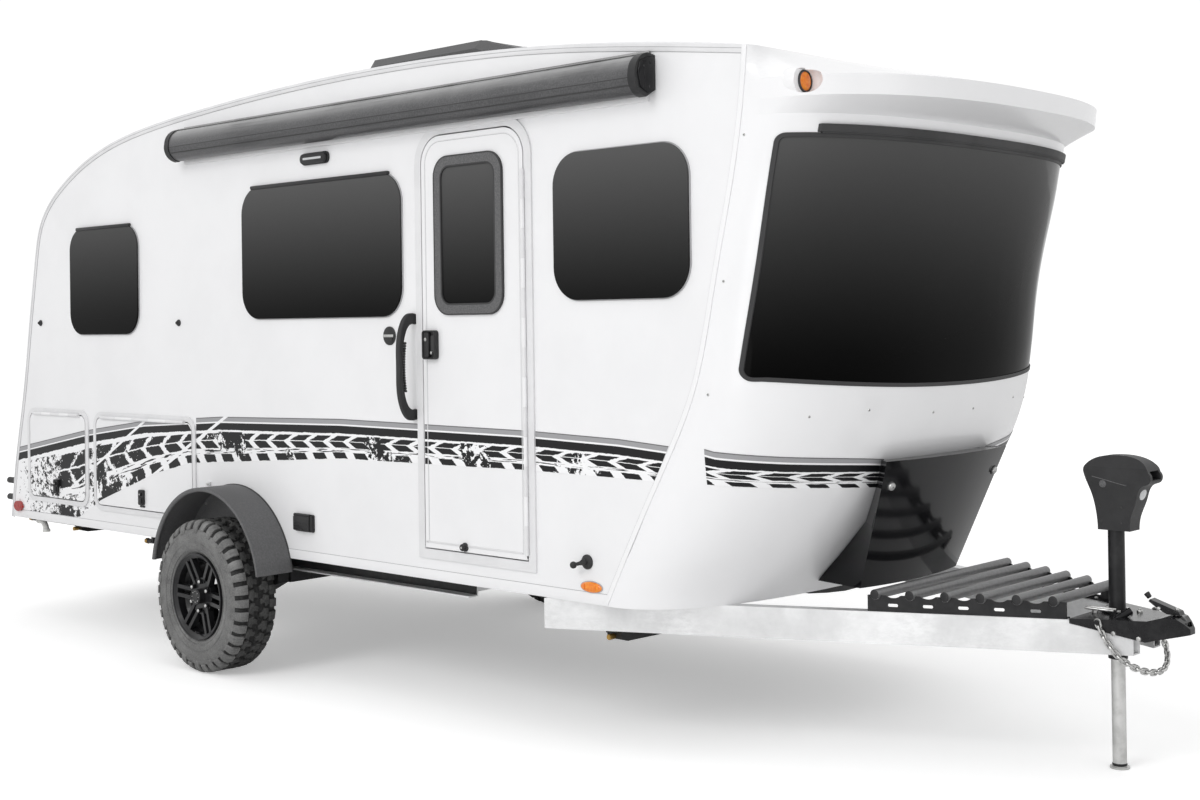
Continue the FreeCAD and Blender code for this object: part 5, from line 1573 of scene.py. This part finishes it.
@dataclass
class Lamps:
    """Lenses and bases of the side lamps and the cap's marker lamps."""

    finishes: Finishes
    height: float = 628.0
    half: float = 21.0
    reach: float = 57.0
    amber_x: float = 2407.0
    red_x: float = -2217.0
    marker: Point = (3398, -957, 2495)

    def lens(self, piece: Piece, x: float, glass: Material) -> None:
        """Oval side lamp with ribs, on its base.

        Args:
            piece: Piece that takes it.
            x: Its middle.
            glass: Material of the lens.
        """
        y, z, half = -HALF_W, self.height, self.half
        around = np.linspace(0, 2 * math.pi, 40, False)
        wide, high = self.reach + 3, half + 3
        oval = [(x + wide * math.cos(a), z + high * math.sin(a)) for a in around]
        piece.put(side_plate(oval, y - 4, y, 1.5), self.finishes.gap)
        piece.put(ball((x, y - 3, z), (self.reach, 12, half), 14), glass)
        for dx in (-30, -10, 10, 30):
            rise = (half - 8) * math.sqrt(1 - (dx / self.reach) ** 2)
            piece.blocks((glass, (x + dx - 1.4, y - 15, z - rise), (x + dx + 1.4, y - 9, z + rise), 1.2))

    def build(self) -> None:
        """Make every lamp."""
        fin = self.finishes
        amber = Piece("amber_lamps", "trailer", Slot.AMBER, Side.BOTH)
        self.lens(amber, self.amber_x, fin.amber)
        face = Matrix.Translation(self.marker) @ Matrix.Rotation(math.radians(90), 4, "Z")
        ring = [(33, 4), (40, 4), (41, -2), (39, -6), (35, -6.5), (33, -4)]
        dome = [(0.4, 3), (33.5, 3), (33.5, -3), (27, -6), (12, -8), (0.4, -8.5)]
        amber.put(turned(lathe(ring, ORIGIN, 48), face), fin.rubber)
        amber.put(turned(lathe(dome, ORIGIN, 40, False), face), fin.amber)
        amber.finish(replaces=["lamps_amber"])
        red = Piece("red_lamps", "trailer", Slot.RED, Side.BOTH)
        self.lens(red, self.red_x, fin.red)
        red.finish()


@dataclass
class NoseCover:
    """Keyed latches of the cover low on the cap."""

    finishes: Finishes
    node: Object
    latch_y: float = 384.0
    latch_z: float = 1022.0

    def build(self) -> None:
        """Make the two latches."""
        fin = self.finishes
        piece = Piece("nose_latches", "nose_lid", Slot.NOSE)
        cover = CadSurface(self.node)
        for y in (-self.latch_y, self.latch_y):
            cover.studs(
                piece, (3700, y, self.latch_z), REARWARD,
                (fin.rubber, -3, 3, 21, 20, 32, 1.2),
                (fin.galvanised, 2, 13, 17, 15, 32, 2),
                (fin.galvanised, 12, 15, 9, 8, 24, 1),
                (fin.rubber, 14.5, 16, 2.5, 2.5, 12),
            )
        piece.finish()


@dataclass
class AirConditioner:
    """Ribs and louvres of the roof unit."""

    finishes: Finishes
    node: Object
    rib_y: tuple[float, ...] = (-270.0, 0.0, 270.0)
    rib_ends: tuple[float, float] = (275.0, 1340.0)
    louvre_x: float = 555.0
    louvre_pitch: float = 62.0
    louvres: int = 9
    louvre_z: tuple[float, ...] = (2897.0, 2917.0, 2937.0)

    def build(self) -> None:
        """Make the roof unit's trims."""
        fin = self.finishes
        piece = Piece("roof_unit_trim", "trailer", Slot.PLASTIC)
        unit = CadSurface(self.node)
        for y in self.rib_y:
            line = [unit.hit((x, y, 3300), DOWNWARD)[0] for x in np.linspace(*self.rib_ends, 40)]
            piece.put(sweep(line, 4), fin.unit)
        for i in range(self.louvres):
            for z in self.louvre_z:
                at, normal = unit.hit((self.louvre_x + i * self.louvre_pitch, -700, z), INWARD)
                slot = ((0, -3), (42, -3), (42, 3), (0, 3))
                outline = [at + Vector((dx, 0, dz)) + normal * 0.8 for dx, dz in slot]
                piece.put(push(outline, normal * 1.4), fin.rubber, Side.BOTH)
        piece.finish()


def copies_round(bm: Mesh, count: int) -> Mesh:
    """Repeat a shape evenly about the Y axis.

    Args:
        bm: The shape.
        count: Number of copies in all.

    Returns:
        The same shape with its copies.
    """
    bmesh.ops.spin(bm, geom=bm.verts[:] + bm.edges[:] + bm.faces[:], cent=ORIGIN, axis=(0, 1, 0),
                   angle=2 * math.pi * (count - 1) / count, steps=count - 1, use_duplicate=True)
    return bm


@dataclass
class Wheel:
    """Off-road tyre with its blocks, and the fittings of the rim.

    Profiles are (radius, y) points, with y from the middle of the tyre.
    """

    finishes: Finishes
    side: Side
    centre: Point = (0.0, -1166.0, 366.0)
    outer: float = 365.2
    floor: float = 351.0
    bead: float = 191.0
    pitches: int = 36
    nuts: int = 6
    nut_circle: float = 70.0
    wall: tuple[Point, ...] = ((232, 108), (252, 112.5), (276, 114.2), (300, 113), (322, 108), (337, 101),
                               (347, 91))
    block_outline: tuple[Point, ...] = ((-25, -51), (14, -56), (27, -34), (9, -30), (12, -8), (-9, -4),
                                        (-16, -24), (-30, -28))
    rings: tuple[Point, ...] = ((258, -113.2, 0.9), (262, -113.2, 0.9), (228, -107.6, 1.2))

    @staticmethod
    def across(half: Sequence[Point], middle: Point) -> list[Point]:
        """Profile from one side of the tyre over its middle to the other."""
        return [(r, -y) for r, y in half] + [middle] + list(half[::-1])

    def add(self, piece: Piece, shape: Mesh, finish: Material) -> None:
        """Move a shape made about the origin to the wheel's centre, and add it to a piece."""
        piece.put(turned(shape, Matrix.Translation(self.centre)), finish)

    def carcass(self) -> Mesh:
        """Tyre without its blocks.

        Returns:
            The new shape.
        """
        bead, floor = self.bead, self.floor
        foot, crest = [(bead + 1, 90), (bead + 17.5, 95), (bead + 24, 102)], [(floor, 76), (floor + 1, 40)]
        inner = [(bead + 9, 80), (240, 98), (300, 100), (336, 84), (340, 0)]
        back = inner + [(r, -y) for r, y in inner[-2::-1]]
        return lathe(self.across([*foot, *self.wall, *crest], (floor + 1.5, 0)) + back, ORIGIN, 144)

    def crown(self) -> Mesh:
        """Dark skin over the top of the carcass, seen between the blocks: tread rubber kept dark and free of
        dust as painted shade in the grooves.

        Returns:
            The new shape.
        """
        half = [(324, 108.2), (338, 101.6), (348, 91.6), (self.floor + 0.8, 76.4), (self.floor + 1.8, 40)]
        outer = self.across(half, (self.floor + 2.3, 0))
        return lathe(outer + [(r - 3, y * 0.97) for r, y in outer[::-1]], ORIGIN, 144)

    def shoulder(self, sign: int, shift: float, width: float, reach: float) -> Mesh:
        """Lug over the shoulder, down the sidewall.

        Args:
            sign: -1 for the outer side, 1 for the inner.
            shift: Place round the tyre, in degrees.
            width: Along the tread.
            reach: Radius of its lower end.

        Returns:
            The lug.
        """
        top = self.outer
        profile = [(58, self.floor - 4), (58, top), (84, top - 1.5), (99, top - 10), (109, top - 27),
                   (114.6, reach + 8), (113.6, reach), (106, reach + 2), (90, self.floor - 8)]
        bm = push([(-width / 2, sign * y, r) for y, r in profile], (width, 0, 0), 2.2)
        for v in bm.verts:
            v.co.x *= 0.8 + 0.2 * (v.co.z - reach) / (top - reach)
        return turned(bm, Matrix.Rotation(math.radians(shift), 4, "Y"))

    def centre_block(self, points: Sequence[Point], shift: float) -> Mesh:
        """Tread block with a (along, y) outline, turned round the tyre by degrees."""
        bm = push([(x, y, self.floor - 4) for x, y in points], (0, 0, self.outer - self.floor + 3.4), 1.6)
        return turned(bm, Matrix.Rotation(math.radians(shift), 4, "Y"))

    def build(self) -> None:
        """Make the tyre and dress the rim."""
        fin = self.finishes
        name = self.side.value
        tyre = Piece("tyre_detail_" + name, "wheel_" + name, Slot.TYRE, self.side)
        self.add(tyre, self.carcass(), fin.sidewall)
        # dark crown: painted shade between the blocks
        self.add(tyre, self.crown(), fin.groove_painted_shade)
        step = 360 / self.pitches
        for sign, finish, late in ((-1, fin.sidewall, 0.0), (1, fin.tread, step / 4)):
            for shift, width, reach in ((late, 44, 306), (step + late, 39, 322)):
                lug = self.shoulder(sign, shift, width, reach)
                self.add(tyre, copies_round(lug, self.pitches // 2), finish)
        for mirror, shift in ((1, step / 2), (-1, step)):
            points = [(x, y * mirror) for x, y in self.block_outline][::mirror]
            self.add(tyre, copies_round(self.centre_block(points, shift), self.pitches), fin.tread)
        for r, y, t in self.rings:
            ring = [(r - 1.6, y + 2), (r - 1.6, y - t), (r + 1.6, y - t), (r + 1.6, y + 2)]
            self.add(tyre, lathe(ring, ORIGIN, 120), fin.sidewall)
        tyre.finish(38, replaces=["tyre_" + name])
        self.rim_parts(Piece("rim_detail_" + name, "wheel_" + name, Slot.RIM, self.side))

    def rim_parts(self, piece: Piece) -> None:
        """Lug nuts, centre cap with its ring and bolts, outer lip and valve.

        Args:
            piece: The empty piece.
        """
        fin = self.finishes
        turn = Matrix.Rotation(math.radians(4), 4, "Y")
        high = self.nut_circle
        nut = turned(rod((0, -84, 0), (0, -96, 0), 11.5, 10.5, 6, 1), Matrix.Translation((0, 0, high)))
        tip = ball((0, -96, high), (9, 6, 9), 8)
        self.add(piece, copies_round(turned(nut, turn), self.nuts), fin.steel)
        self.add(piece, copies_round(turned(tip, turn), self.nuts), fin.galvanised)
        cap = [(0.5, -116), (20, -116), (22, -114), (30, -114), (33, -116.5), (37, -116.5), (39.5, -113),
               (39.5, -108), (35, -106), (0.5, -106)]
        ring = [(33.4, -116.2), (34.2, -117.6), (36.4, -117.6), (37.2, -116.2)]
        lip = [(200, -110.2), (203, -111.2), (207.4, -110.4), (208, -108), (200, -108)]
        self.add(piece, lathe(cap, ORIGIN, 60, False), fin.rim)
        self.add(piece, lathe(ring, ORIGIN, 60), fin.steel)
        self.add(piece, copies_round(ball((0, -114.5, 26), (2.6, 2, 2.6), 6), 8), fin.galvanised)
        self.add(piece, lathe(lip, ORIGIN, 120), fin.rim)
        self.add(piece, rod((0, -96, -176), (0, -116, -168), 4.2, 3.6, 12), fin.rubber)
        piece.finish()


@dataclass
class Fenders:
    """Liner, flange screws and edge roll of the fenders."""

    finishes: Finishes
    radius: float = 460.0
    centre_z: float = 424.0
    low: float = 499.0
    screws: int = 9

    def build(self) -> None:
        """Make the fenders' trims on both sides."""
        fin = self.finishes
        y = -HALF_W - 3
        piece = Piece("fender_trim", "trailer", Slot.PLASTIC, Side.BOTH)
        rise = math.asin((self.low - self.centre_z) / self.radius)
        arc = np.linspace(rise, math.pi - rise, 60)
        liner = [on_circle(self.radius - 9, a, 0, self.centre_z) for a in arc]
        piece.put(side_plate(liner, y, -HALF_W - 0.2), fin.fender)
        for a in np.linspace(rise + 0.12, math.pi - rise - 0.12, self.screws):
            x, z = on_circle(self.radius - 24, a, 0, self.centre_z)
            piece.rods((fin.galvanised, (x, y, z), (x, y - 5, z), 8, 6, 16))
        edge = [on_circle(self.radius, a, 0, self.centre_z) for a in arc]
        piece.put(sweep([(x, y, z) for x, z in edge], 4), fin.rubber)
        piece.finish()


@dataclass
class Rack:
    """End caps and bolts of the load rack."""

    finishes: Finishes
    bars: tuple[float, ...] = (3350, 3467, 3584, 3701, 3818, 3935)
    bar_z: float = 625.0
    bolt_z: float = 567.0

    def build(self) -> None:
        """Make the rack's trims."""
        fin = self.finishes
        piece = Piece("rack_trim", "trailer", Slot.BAR, Side.BOTH)
        for x in self.bars:
            y = 4 - (RAIL_APEX - x) * RAIL_SLOPE
            cap = [(0.5, y - 2.5), (14, y - 2.5), (18.2, y - 0.5), (18.6, y + 2), (0.5, y + 2)]
            piece.put(lathe(cap, (x, 0, self.bar_z), 28, False), fin.plastic)
        for xa, xb in zip(self.bars, self.bars[1:]):
            x = (xa + xb) / 2
            y = 22 - (RAIL_APEX - x) * RAIL_SLOPE
            piece.rods((fin.galvanised, (x, y, self.bolt_z), (x, y, self.bolt_z + 6), 9, 8, 6, 1))
        piece.finish()


@dataclass
class Coupler:
    """Latch grip, pins and bolts of the coupler."""

    finishes: Finishes
    flange_bolts: tuple[Point, ...] = ((4012, -52), (4012, 52), (4136, -52), (4136, 52))
    jack_bolts: int = 3
    jack_circle: float = 43.0
    rail_bolts: tuple[Point, ...] = ((4128, 520), (4206, 505))

    def build(self) -> None:
        """Make the coupler's trims."""
        fin = self.finishes
        zinc = fin.galvanised
        piece = Piece("coupler_trim", "trailer", Slot.STEEL)
        piece.rods(
            (fin.steel, (4199, 0, 636), (4186, 0, 652), 9, 11, 20, 2),
            (zinc, (4242, -26, 604), (4242, 26, 604), 7, 7, 16, 1),
            (fin.gloss, (4094, -100, 548), (4152, -52, 592), 13, 13, 24, 2),
            (zinc, (4088, -105, 543), (4095, -99, 549), 9, 9, 20, 2),
            (zinc, (4300, 0, 583), (4300, 0, 601), 15, 14, 6, 1.5),
            (zinc, (4300, 0, 600), (4300, 0, 610), 8, 7, 20, 1),
            (zinc, (3996, -104, 592), (4098, -82, 588), 5, 5, 14, 1.5),
            (zinc, (3996, -84, 594), (4098, -62, 590), 5, 5, 14, 1.5),
        )
        for x, y in self.flange_bolts:
            piece.rods((zinc, (x, y, 566), (x, y, 577), 12, 11, 6, 1.5),
                       (zinc, (x, y, 575), (x, y, 582), 6, 5.5, 16))
        for i in range(self.jack_bolts):
            x, y = on_circle(self.jack_circle, math.radians(60 + 120 * i), JACK_X)
            piece.rods((zinc, (x, y, 575), (x, y, 584), 8, 7.5, 6, 1))
        for x, z in self.rail_bolts:
            y = -(RAIL_APEX - x) * RAIL_SLOPE
            piece.rods((zinc, (x, y - 3, z), (x, y - 13, z), 9.5, 9, 6, 1), side=Side.BOTH)
        piece.finish()


@dataclass
class Jack:
    """Buttons, lamp, boss, screws and seam of the powered jack's head, and the leg's ring."""

    finishes: Finishes
    node: Object
    button_y: tuple[float, ...] = (-21, 0, 21)
    screws: tuple[Point, ...] = ((-36, 905), (40, 905), (-40, 960), (44, 960))
    seam_steps: int = 13
    seam_start: Point = (-66, 1068)
    seam_step: Point = (11, -2.4)

    def build(self) -> None:
        """Make the jack's trims."""
        fin = self.finishes
        piece = Piece("jack_head_trim", "trailer", Slot.PLASTIC)
        head = CadSurface(self.node)
        front = JACK_X + 400
        for y in self.button_y:
            head.studs(piece, (front, y, 1072), REARWARD, (fin.rubber, -2, 8, 9, 8, 20, 2))
        at, normal = head.hit((front, 0, 1006), REARWARD)
        face = Matrix.Translation(at) @ normal.to_track_quat("X", "Z").to_matrix().to_4x4()
        piece.put(turned(ball(ORIGIN, (4, 27, 21), 12), face), fin.clear)
        boss = (fin.frame_plastic, -3, 2, 15, 13, 32, 1)
        head.studs(piece, (JACK_X - 25, -300, 1042), INWARD, boss, side=Side.BOTH)
        for dx, z in self.screws:
            screw = (fin.rubber, -2, 1.5, 5, 4.5, 16)
            head.studs(piece, (JACK_X + dx, -300, z), INWARD, screw, side=Side.BOTH)
        seam = []
        (dx, z), (step_x, step_z) = self.seam_start, self.seam_step
        for i in range(self.seam_steps):
            at, normal = head.hit((JACK_X + dx + step_x * i, -300, z + step_z * i), INWARD)
            seam.append(tuple(at - normal * 0.8))
        piece.put(sweep(seam, 1.6), fin.frame_plastic, Side.BOTH)
        piece.finish()
        leg = Piece("jack_leg_trim", "jack_inner", Slot.JACK)
        ring = lathe([(25.6, 0), (27, -2), (27, -8), (25.6, -10)], ORIGIN, 48)
        upright = Matrix.Translation((JACK_X, 0, 20)) @ Matrix.Rotation(math.radians(90), 4, "X")
        leg.put(turned(ring, upright), fin.steel)
        leg.finish()


@dataclass
class SafetyChain:
    """Round links in the places of the plain ones."""

    finishes: Finishes
    node: Object
    length: float = 40.0
    width: float = 27.0
    wire: float = 4.3

    def islands(self) -> list[np.ndarray]:
        """Find the plain links.

        Returns:
            Points of each one, in axle millimetres.
        """
        bm = node_mesh(self.node)
        bmesh.ops.remove_doubles(bm, verts=bm.verts, dist=0.01)
        found, groups = set(), []
        for first in bm.verts:
            if first in found:
                continue
            found.add(first)
            stack, group = [first], []
            while stack:
                v = stack.pop()
                group.append(tuple(v.co))
                fresh = [e.other_vert(v) for e in v.link_edges if e.other_vert(v) not in found]
                found.update(fresh)
                stack.extend(fresh)
            groups.append(np.array(group))
        bm.free()
        return groups

    def link(self) -> list[Point]:
        """Centre line of a link, flat in the XY plane.

        Returns:
            Its points.
        """
        r = self.width / 2 - self.wire
        c = self.length / 2 - self.wire - r
        arc = np.linspace(-math.pi / 2, math.pi / 2, 9)
        right = [(c + r * math.cos(a), r * math.sin(a), 0) for a in arc]
        return right + [(-x, -y, 0) for x, y, _ in right]

    def build(self) -> None:
        """Make the chain."""
        piece = Piece("chain_links", "trailer", Slot.ZINC)
        for points in self.islands():
            middle = points.mean(axis=0)
            axes = np.linalg.svd(points - middle)[2]
            turn = Matrix([[*axes[0]], [*axes[1]], [*np.cross(axes[0], axes[1])]]).transposed().to_4x4()
            link = turned(sweep(self.link(), self.wire, True), Matrix.Translation(middle) @ turn)
            piece.put(link, self.finishes.galvanised)
        piece.finish(60, replaces=["safety_chains"])


@dataclass
class Underbody:
    """Drain pipes, dark sheets on the channel webs as painted shade, and wiring conduit below the floor."""

    finishes: Finishes
    elbow: tuple[Point, ...] = ((-2160, -950, 541), (-2130, -950, 538), (-2100, -950, 524),
                                (-2084, -950, 503), (-2078, -950, 484))
    conduit: tuple[Point, ...] = ((300, -850, 552), (520, -856, 540), (760, -850, 520), (1000, -856, 516),
                                  (1280, -850, 540), (1560, -846, 552))
    clips: tuple[float, ...] = (430, 760, 1130, 1480)

    def build(self) -> None:
        """Make the pieces below the floor."""
        fin = self.finishes
        piece = Piece("drain_pipes", "trailer", Slot.PLASTIC)
        piece.rods(
            (fin.steel, (-2200, -900, 543), (-1700, -900, 543), 17),
            (fin.steel, (-2226, -958, 546), (-2180, -958, 546), 12, 12, 20),
            (fin.brass, (-2246, -958, 546), (-2224, -958, 546), 15, 14, 6, 1),
        )
        piece.put(sweep([tuple(p) for p in smooth_line(self.elbow, 14)], 17, sides=24), fin.pipe)
        piece.rods(
            (fin.pipe, (-2078.5, -950, 494), (-2077, -950, 476), 21.5, 21.5, 28, 2),
            (fin.pipe, (-2166, -950, 541), (-2148, -950, 540.5), 20.5, 20.5, 28, 2),
            (fin.pipe, (-2120, -950, 540), (-2120, -950, 562), 11, 11, 20),
            (fin.steel, (-860, -985, 527), (-906, -985, 526), 12.5, 12.5, 20),
            (fin.brass, (-904, -985, 526), (-928, -985, 525.5), 16, 15, 6, 1),
        )
        piece.blocks((fin.steel, (-2200, -968, 536), (-2180, -948, 562), 2),
                     (fin.steel, (-866, -995, 517), (-846, -975, 562), 2))
        piece.finish()
        # painted shade: a thin black sheet on each side channel's web, where the body's overhang shades it
        web_shade = Piece("channel_web_painted_shade", "trailer", Slot.STEEL, Side.BOTH)
        web_shade.blocks((fin.steel, (-418, -913.5, 495), (1598, -911.2, 555), 0.5))
        web_shade.finish()
        loom = Piece("underfloor_conduit", "trailer", Slot.PLASTIC)
        line = smooth_line(self.conduit, 48)
        loom.put(sweep([tuple(p) for p in line], 8, sides=12), fin.pale)
        for x in self.clips:
            y, z = (np.interp(x, line[:, 0], line[:, axis]) for axis in (1, 2))
            loom.blocks((fin.steel, (x - 6, y - 11, z - 10), (x + 6, y + 11, 563), 2))
        loom.finish()


# ---------------------------------------------------------------- finishes of the frame's own pieces


@dataclass
class FrameFinishes:
    """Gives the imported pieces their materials."""

    finishes: Finishes
    nodes: Nodes

    def table(self) -> dict[str, Material]:
        """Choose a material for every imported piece.

        Returns:
            The material for each name.
        """
        f = self.finishes
        groups = (
            (f.paint, "wall_right wall_left roof_panel rear_wall entry_door baggage_door_rear_right "
                      "baggage_door_mid_right baggage_door_rear_left"),
            (f.shell, "front_cap front_visor"),
            (f.unit, "air_conditioner"),
            (f.trim, "door_frame baggage_frames"),
            (f.frame_plastic, "door_window_frame"),
            (f.rubber, "pano_seal pano_rail rear_buffers"),
            (f.pano, "pano_glass"),
            (f.panes, "windows_right windows_left door_glass"),
            (f.plastic, "grab_handle door_fittings wall_fittings jack_head nose_compartment awning_caps"),
            (f.gloss, "nose_cover"),
            (f.awning, "awning_case"),
            (f.amber, "lamps_amber"),
            (f.red, "lamps_red"),
            (f.sidewall, "tyre_right tyre_left"),
            (f.rim, "rim_right rim_left"),
            (f.fender, "fender_right fender_left"),
            (f.steel, "axle trailing_arms rack_brackets nose_hinge jack_tube stabilisers"),
            (f.coupler, "coupler_body coupler_latch"),
            (f.aluminium, "chassis a_frame_rails"),
            (f.bar, "rack_bars"),
            (f.galvanised, "safety_chains"),
            (f.leg, "jack_leg"),
            (f.brass, "stabiliser_screws"),
            (f.board, "floor_panel"),
        )
        return {name: finish for finish, names in groups for name in names.split()}

    def apply(self) -> None:
        """Assign the materials."""
        table = self.table()
        for name, node in self.nodes.items():
            for slot in node.material_slots:
                slot.material = table[name]
        LOG.info("frame finishes: %d pieces", len(self.nodes))


# ---------------------------------------------------------------- camera and studio


@dataclass(frozen=True)
class CameraSpec:
    """Measured camera, in axle millimetres, radians and pixels of the picture."""

    place: Point = (6713.96, -5523.13, 1668.46)
    turn: float = 0.8294
    pitch: float = -0.0058
    roll: float = -0.0142
    focal: float = 1596.98
    centre: Point = (626.41, 309.72)
    picture: Point = (1200, 800)
    sensor: float = 36.0

    def build(self) -> None:
        """Make the camera."""
        a, p, roll = self.turn, self.pitch, self.roll
        wide, high = self.picture
        forward = Vector((-math.cos(a) * math.cos(p), math.sin(a) * math.cos(p), -math.sin(p)))
        level = Vector((math.sin(a), math.cos(a), 0))
        upright = level.cross(forward)
        right = level * math.cos(roll) + upright * math.sin(roll)
        up = upright * math.cos(roll) - level * math.sin(roll)
        data = bpy.data.cameras.new("camera")
        data.sensor_fit = "HORIZONTAL"
        data.sensor_width = self.sensor
        data.lens = self.focal * self.sensor / wide
        data.shift_x = (wide / 2 - self.centre[0]) / wide
        data.shift_y = (self.centre[1] - high / 2) / wide
        data.clip_end = 400
        camera = bpy.data.objects.new("camera", data)
        bpy.context.collection.objects.link(camera)
        turn = Matrix([[*right], [*up], [*(-forward)]]).transposed().to_4x4()
        camera.matrix_world = Matrix.Translation(AXLE_TO_ROW @ Vector(self.place)) @ turn
        bpy.context.scene.camera = camera


@dataclass
class Studio:
    """Pale floor, even sky and soft lamps, in metres."""

    sky: float = 0.72
    backdrop: float = 1.05
    floor_size: float = 90.0
    floor_glow: tuple[float, ...] = (3.5, 9.0, 0.33, 0.5)
    lamps: tuple[tuple[str, Point, Point, float, float], ...] = (
        ("key", (1.6, -13.0, 9.5), (0.0, -0.6, 1.1), 6.5, 600.0),
        ("front", (9.5, -1.5, 3.6), (1.8, 0.0, 1.4), 4.0, 36.0),
        ("top", (0.0, 0.0, 9.0), (0.0, 0.0, 2.0), 6.0, 80.0),
        ("low", (3.6, -5.4, 0.7), (1.3, -0.6, 0.45), 2.0, 20.0),
    )

    def world(self) -> None:
        """Make a sky that is white where it is seen, and softer as a light."""
        world = bpy.data.worlds.new("studio")
        bpy.context.scene.world = world
        world.use_nodes = True
        world.node_tree.nodes.clear()
        g = Graph(world.node_tree)
        rays = g.node("ShaderNodeLightPath").outputs
        seen = g.calc("MAXIMUM", rays["Is Glossy Ray"], rays["Is Transmission Ray"])
        seen = g.calc("MAXIMUM", rays["Is Camera Ray"], seen)
        light, bright = (g.node("ShaderNodeBackground", {"Color": (1, 1, 1), "Strength": level}).outputs[0]
                         for level in (self.sky, self.backdrop))
        mix = g.node("ShaderNodeMixShader", {0: seen, 1: light, 2: bright}).outputs[0]
        g.node("ShaderNodeOutputWorld", {"Surface": mix})

    def floor(self) -> None:
        """Make a pale floor that shows the shadow."""
        bm = bmesh.new()
        bmesh.ops.create_circle(bm, cap_ends=True, segments=128, radius=self.floor_size)
        mesh = bpy.data.meshes.new("floor")
        bm.to_mesh(mesh)
        bm.free()
        floor = bpy.data.objects.new("floor", mesh)
        bpy.context.collection.objects.link(floor)
        material, g, shader = new_material("floor")
        away = g.node("ShaderNodeVectorMath", {0: g.place()}, operation="LENGTH").outputs["Value"]
        seen = g.node("ShaderNodeLightPath").outputs["Is Camera Ray"]
        glow = g.calc("MULTIPLY", g.step(away, *self.floor_glow), seen)
        values = {"Base Color": (0.93,) * 3, "Roughness": 0.9, "Specular IOR Level": 0.0,
                  "Emission Color": (1.0,) * 3, "Emission Strength": glow}
        for key, value in values.items():
            g.feed(shader.inputs[key], value)
        mesh.materials.append(material)

    @staticmethod
    def light(name: str, place: Point, aim: Point, size: float, power: float) -> None:
        """Square soft lamp.

        Args:
            name: Its name.
            place: Where it stands.
            aim: What it points to.
            size: Its side.
            power: Watts.
        """
        data = bpy.data.lights.new(name, "AREA")
        data.size = size
        data.energy = power
        lamp = bpy.data.objects.new(name, data)
        bpy.context.collection.objects.link(lamp)
        turn = (Vector(aim) - Vector(place)).to_track_quat("-Z", "Y").to_matrix().to_4x4()
        lamp.matrix_world = Matrix.Translation(place) @ turn

    def build(self) -> None:
        """Make the studio."""
        self.world()
        self.floor()
        for lamp in self.lamps:
            self.light(*lamp)
        bpy.context.scene.view_settings.view_transform = "Standard"


def main() -> None:
    """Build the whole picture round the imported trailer."""
    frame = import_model()
    nodes = frame["nodes"]
    finishes = Finishes()
    FrameFinishes(finishes, nodes).apply()
    Shell(finishes, nodes["front_cap"]).build()
    TreadGraphic(finishes, nodes["front_cap"]).build()
    Windows(finishes, nodes["pano_rail"]).build()
    EntryDoor(finishes).build()
    WallFittings(finishes).build()
    BaggageDoors(finishes).build()
    Awning(finishes).build()
    AirConditioner(finishes, nodes["air_conditioner"]).build()
    Lamps(finishes).build()
    NoseCover(finishes, nodes["nose_cover"]).build()
    for side in (Side.RIGHT, Side.LEFT):
        Wheel(finishes, side).build()
    Fenders(finishes).build()
    Rack(finishes).build()
    Coupler(finishes).build()
    Jack(finishes, nodes["jack_head"]).build()
    SafetyChain(finishes, nodes["safety_chains"]).build()
    Underbody(finishes).build()
    CameraSpec().build()
    Studio().build()


if __name__ == "__main__":
    logging.basicConfig(level=logging.INFO)
    main()
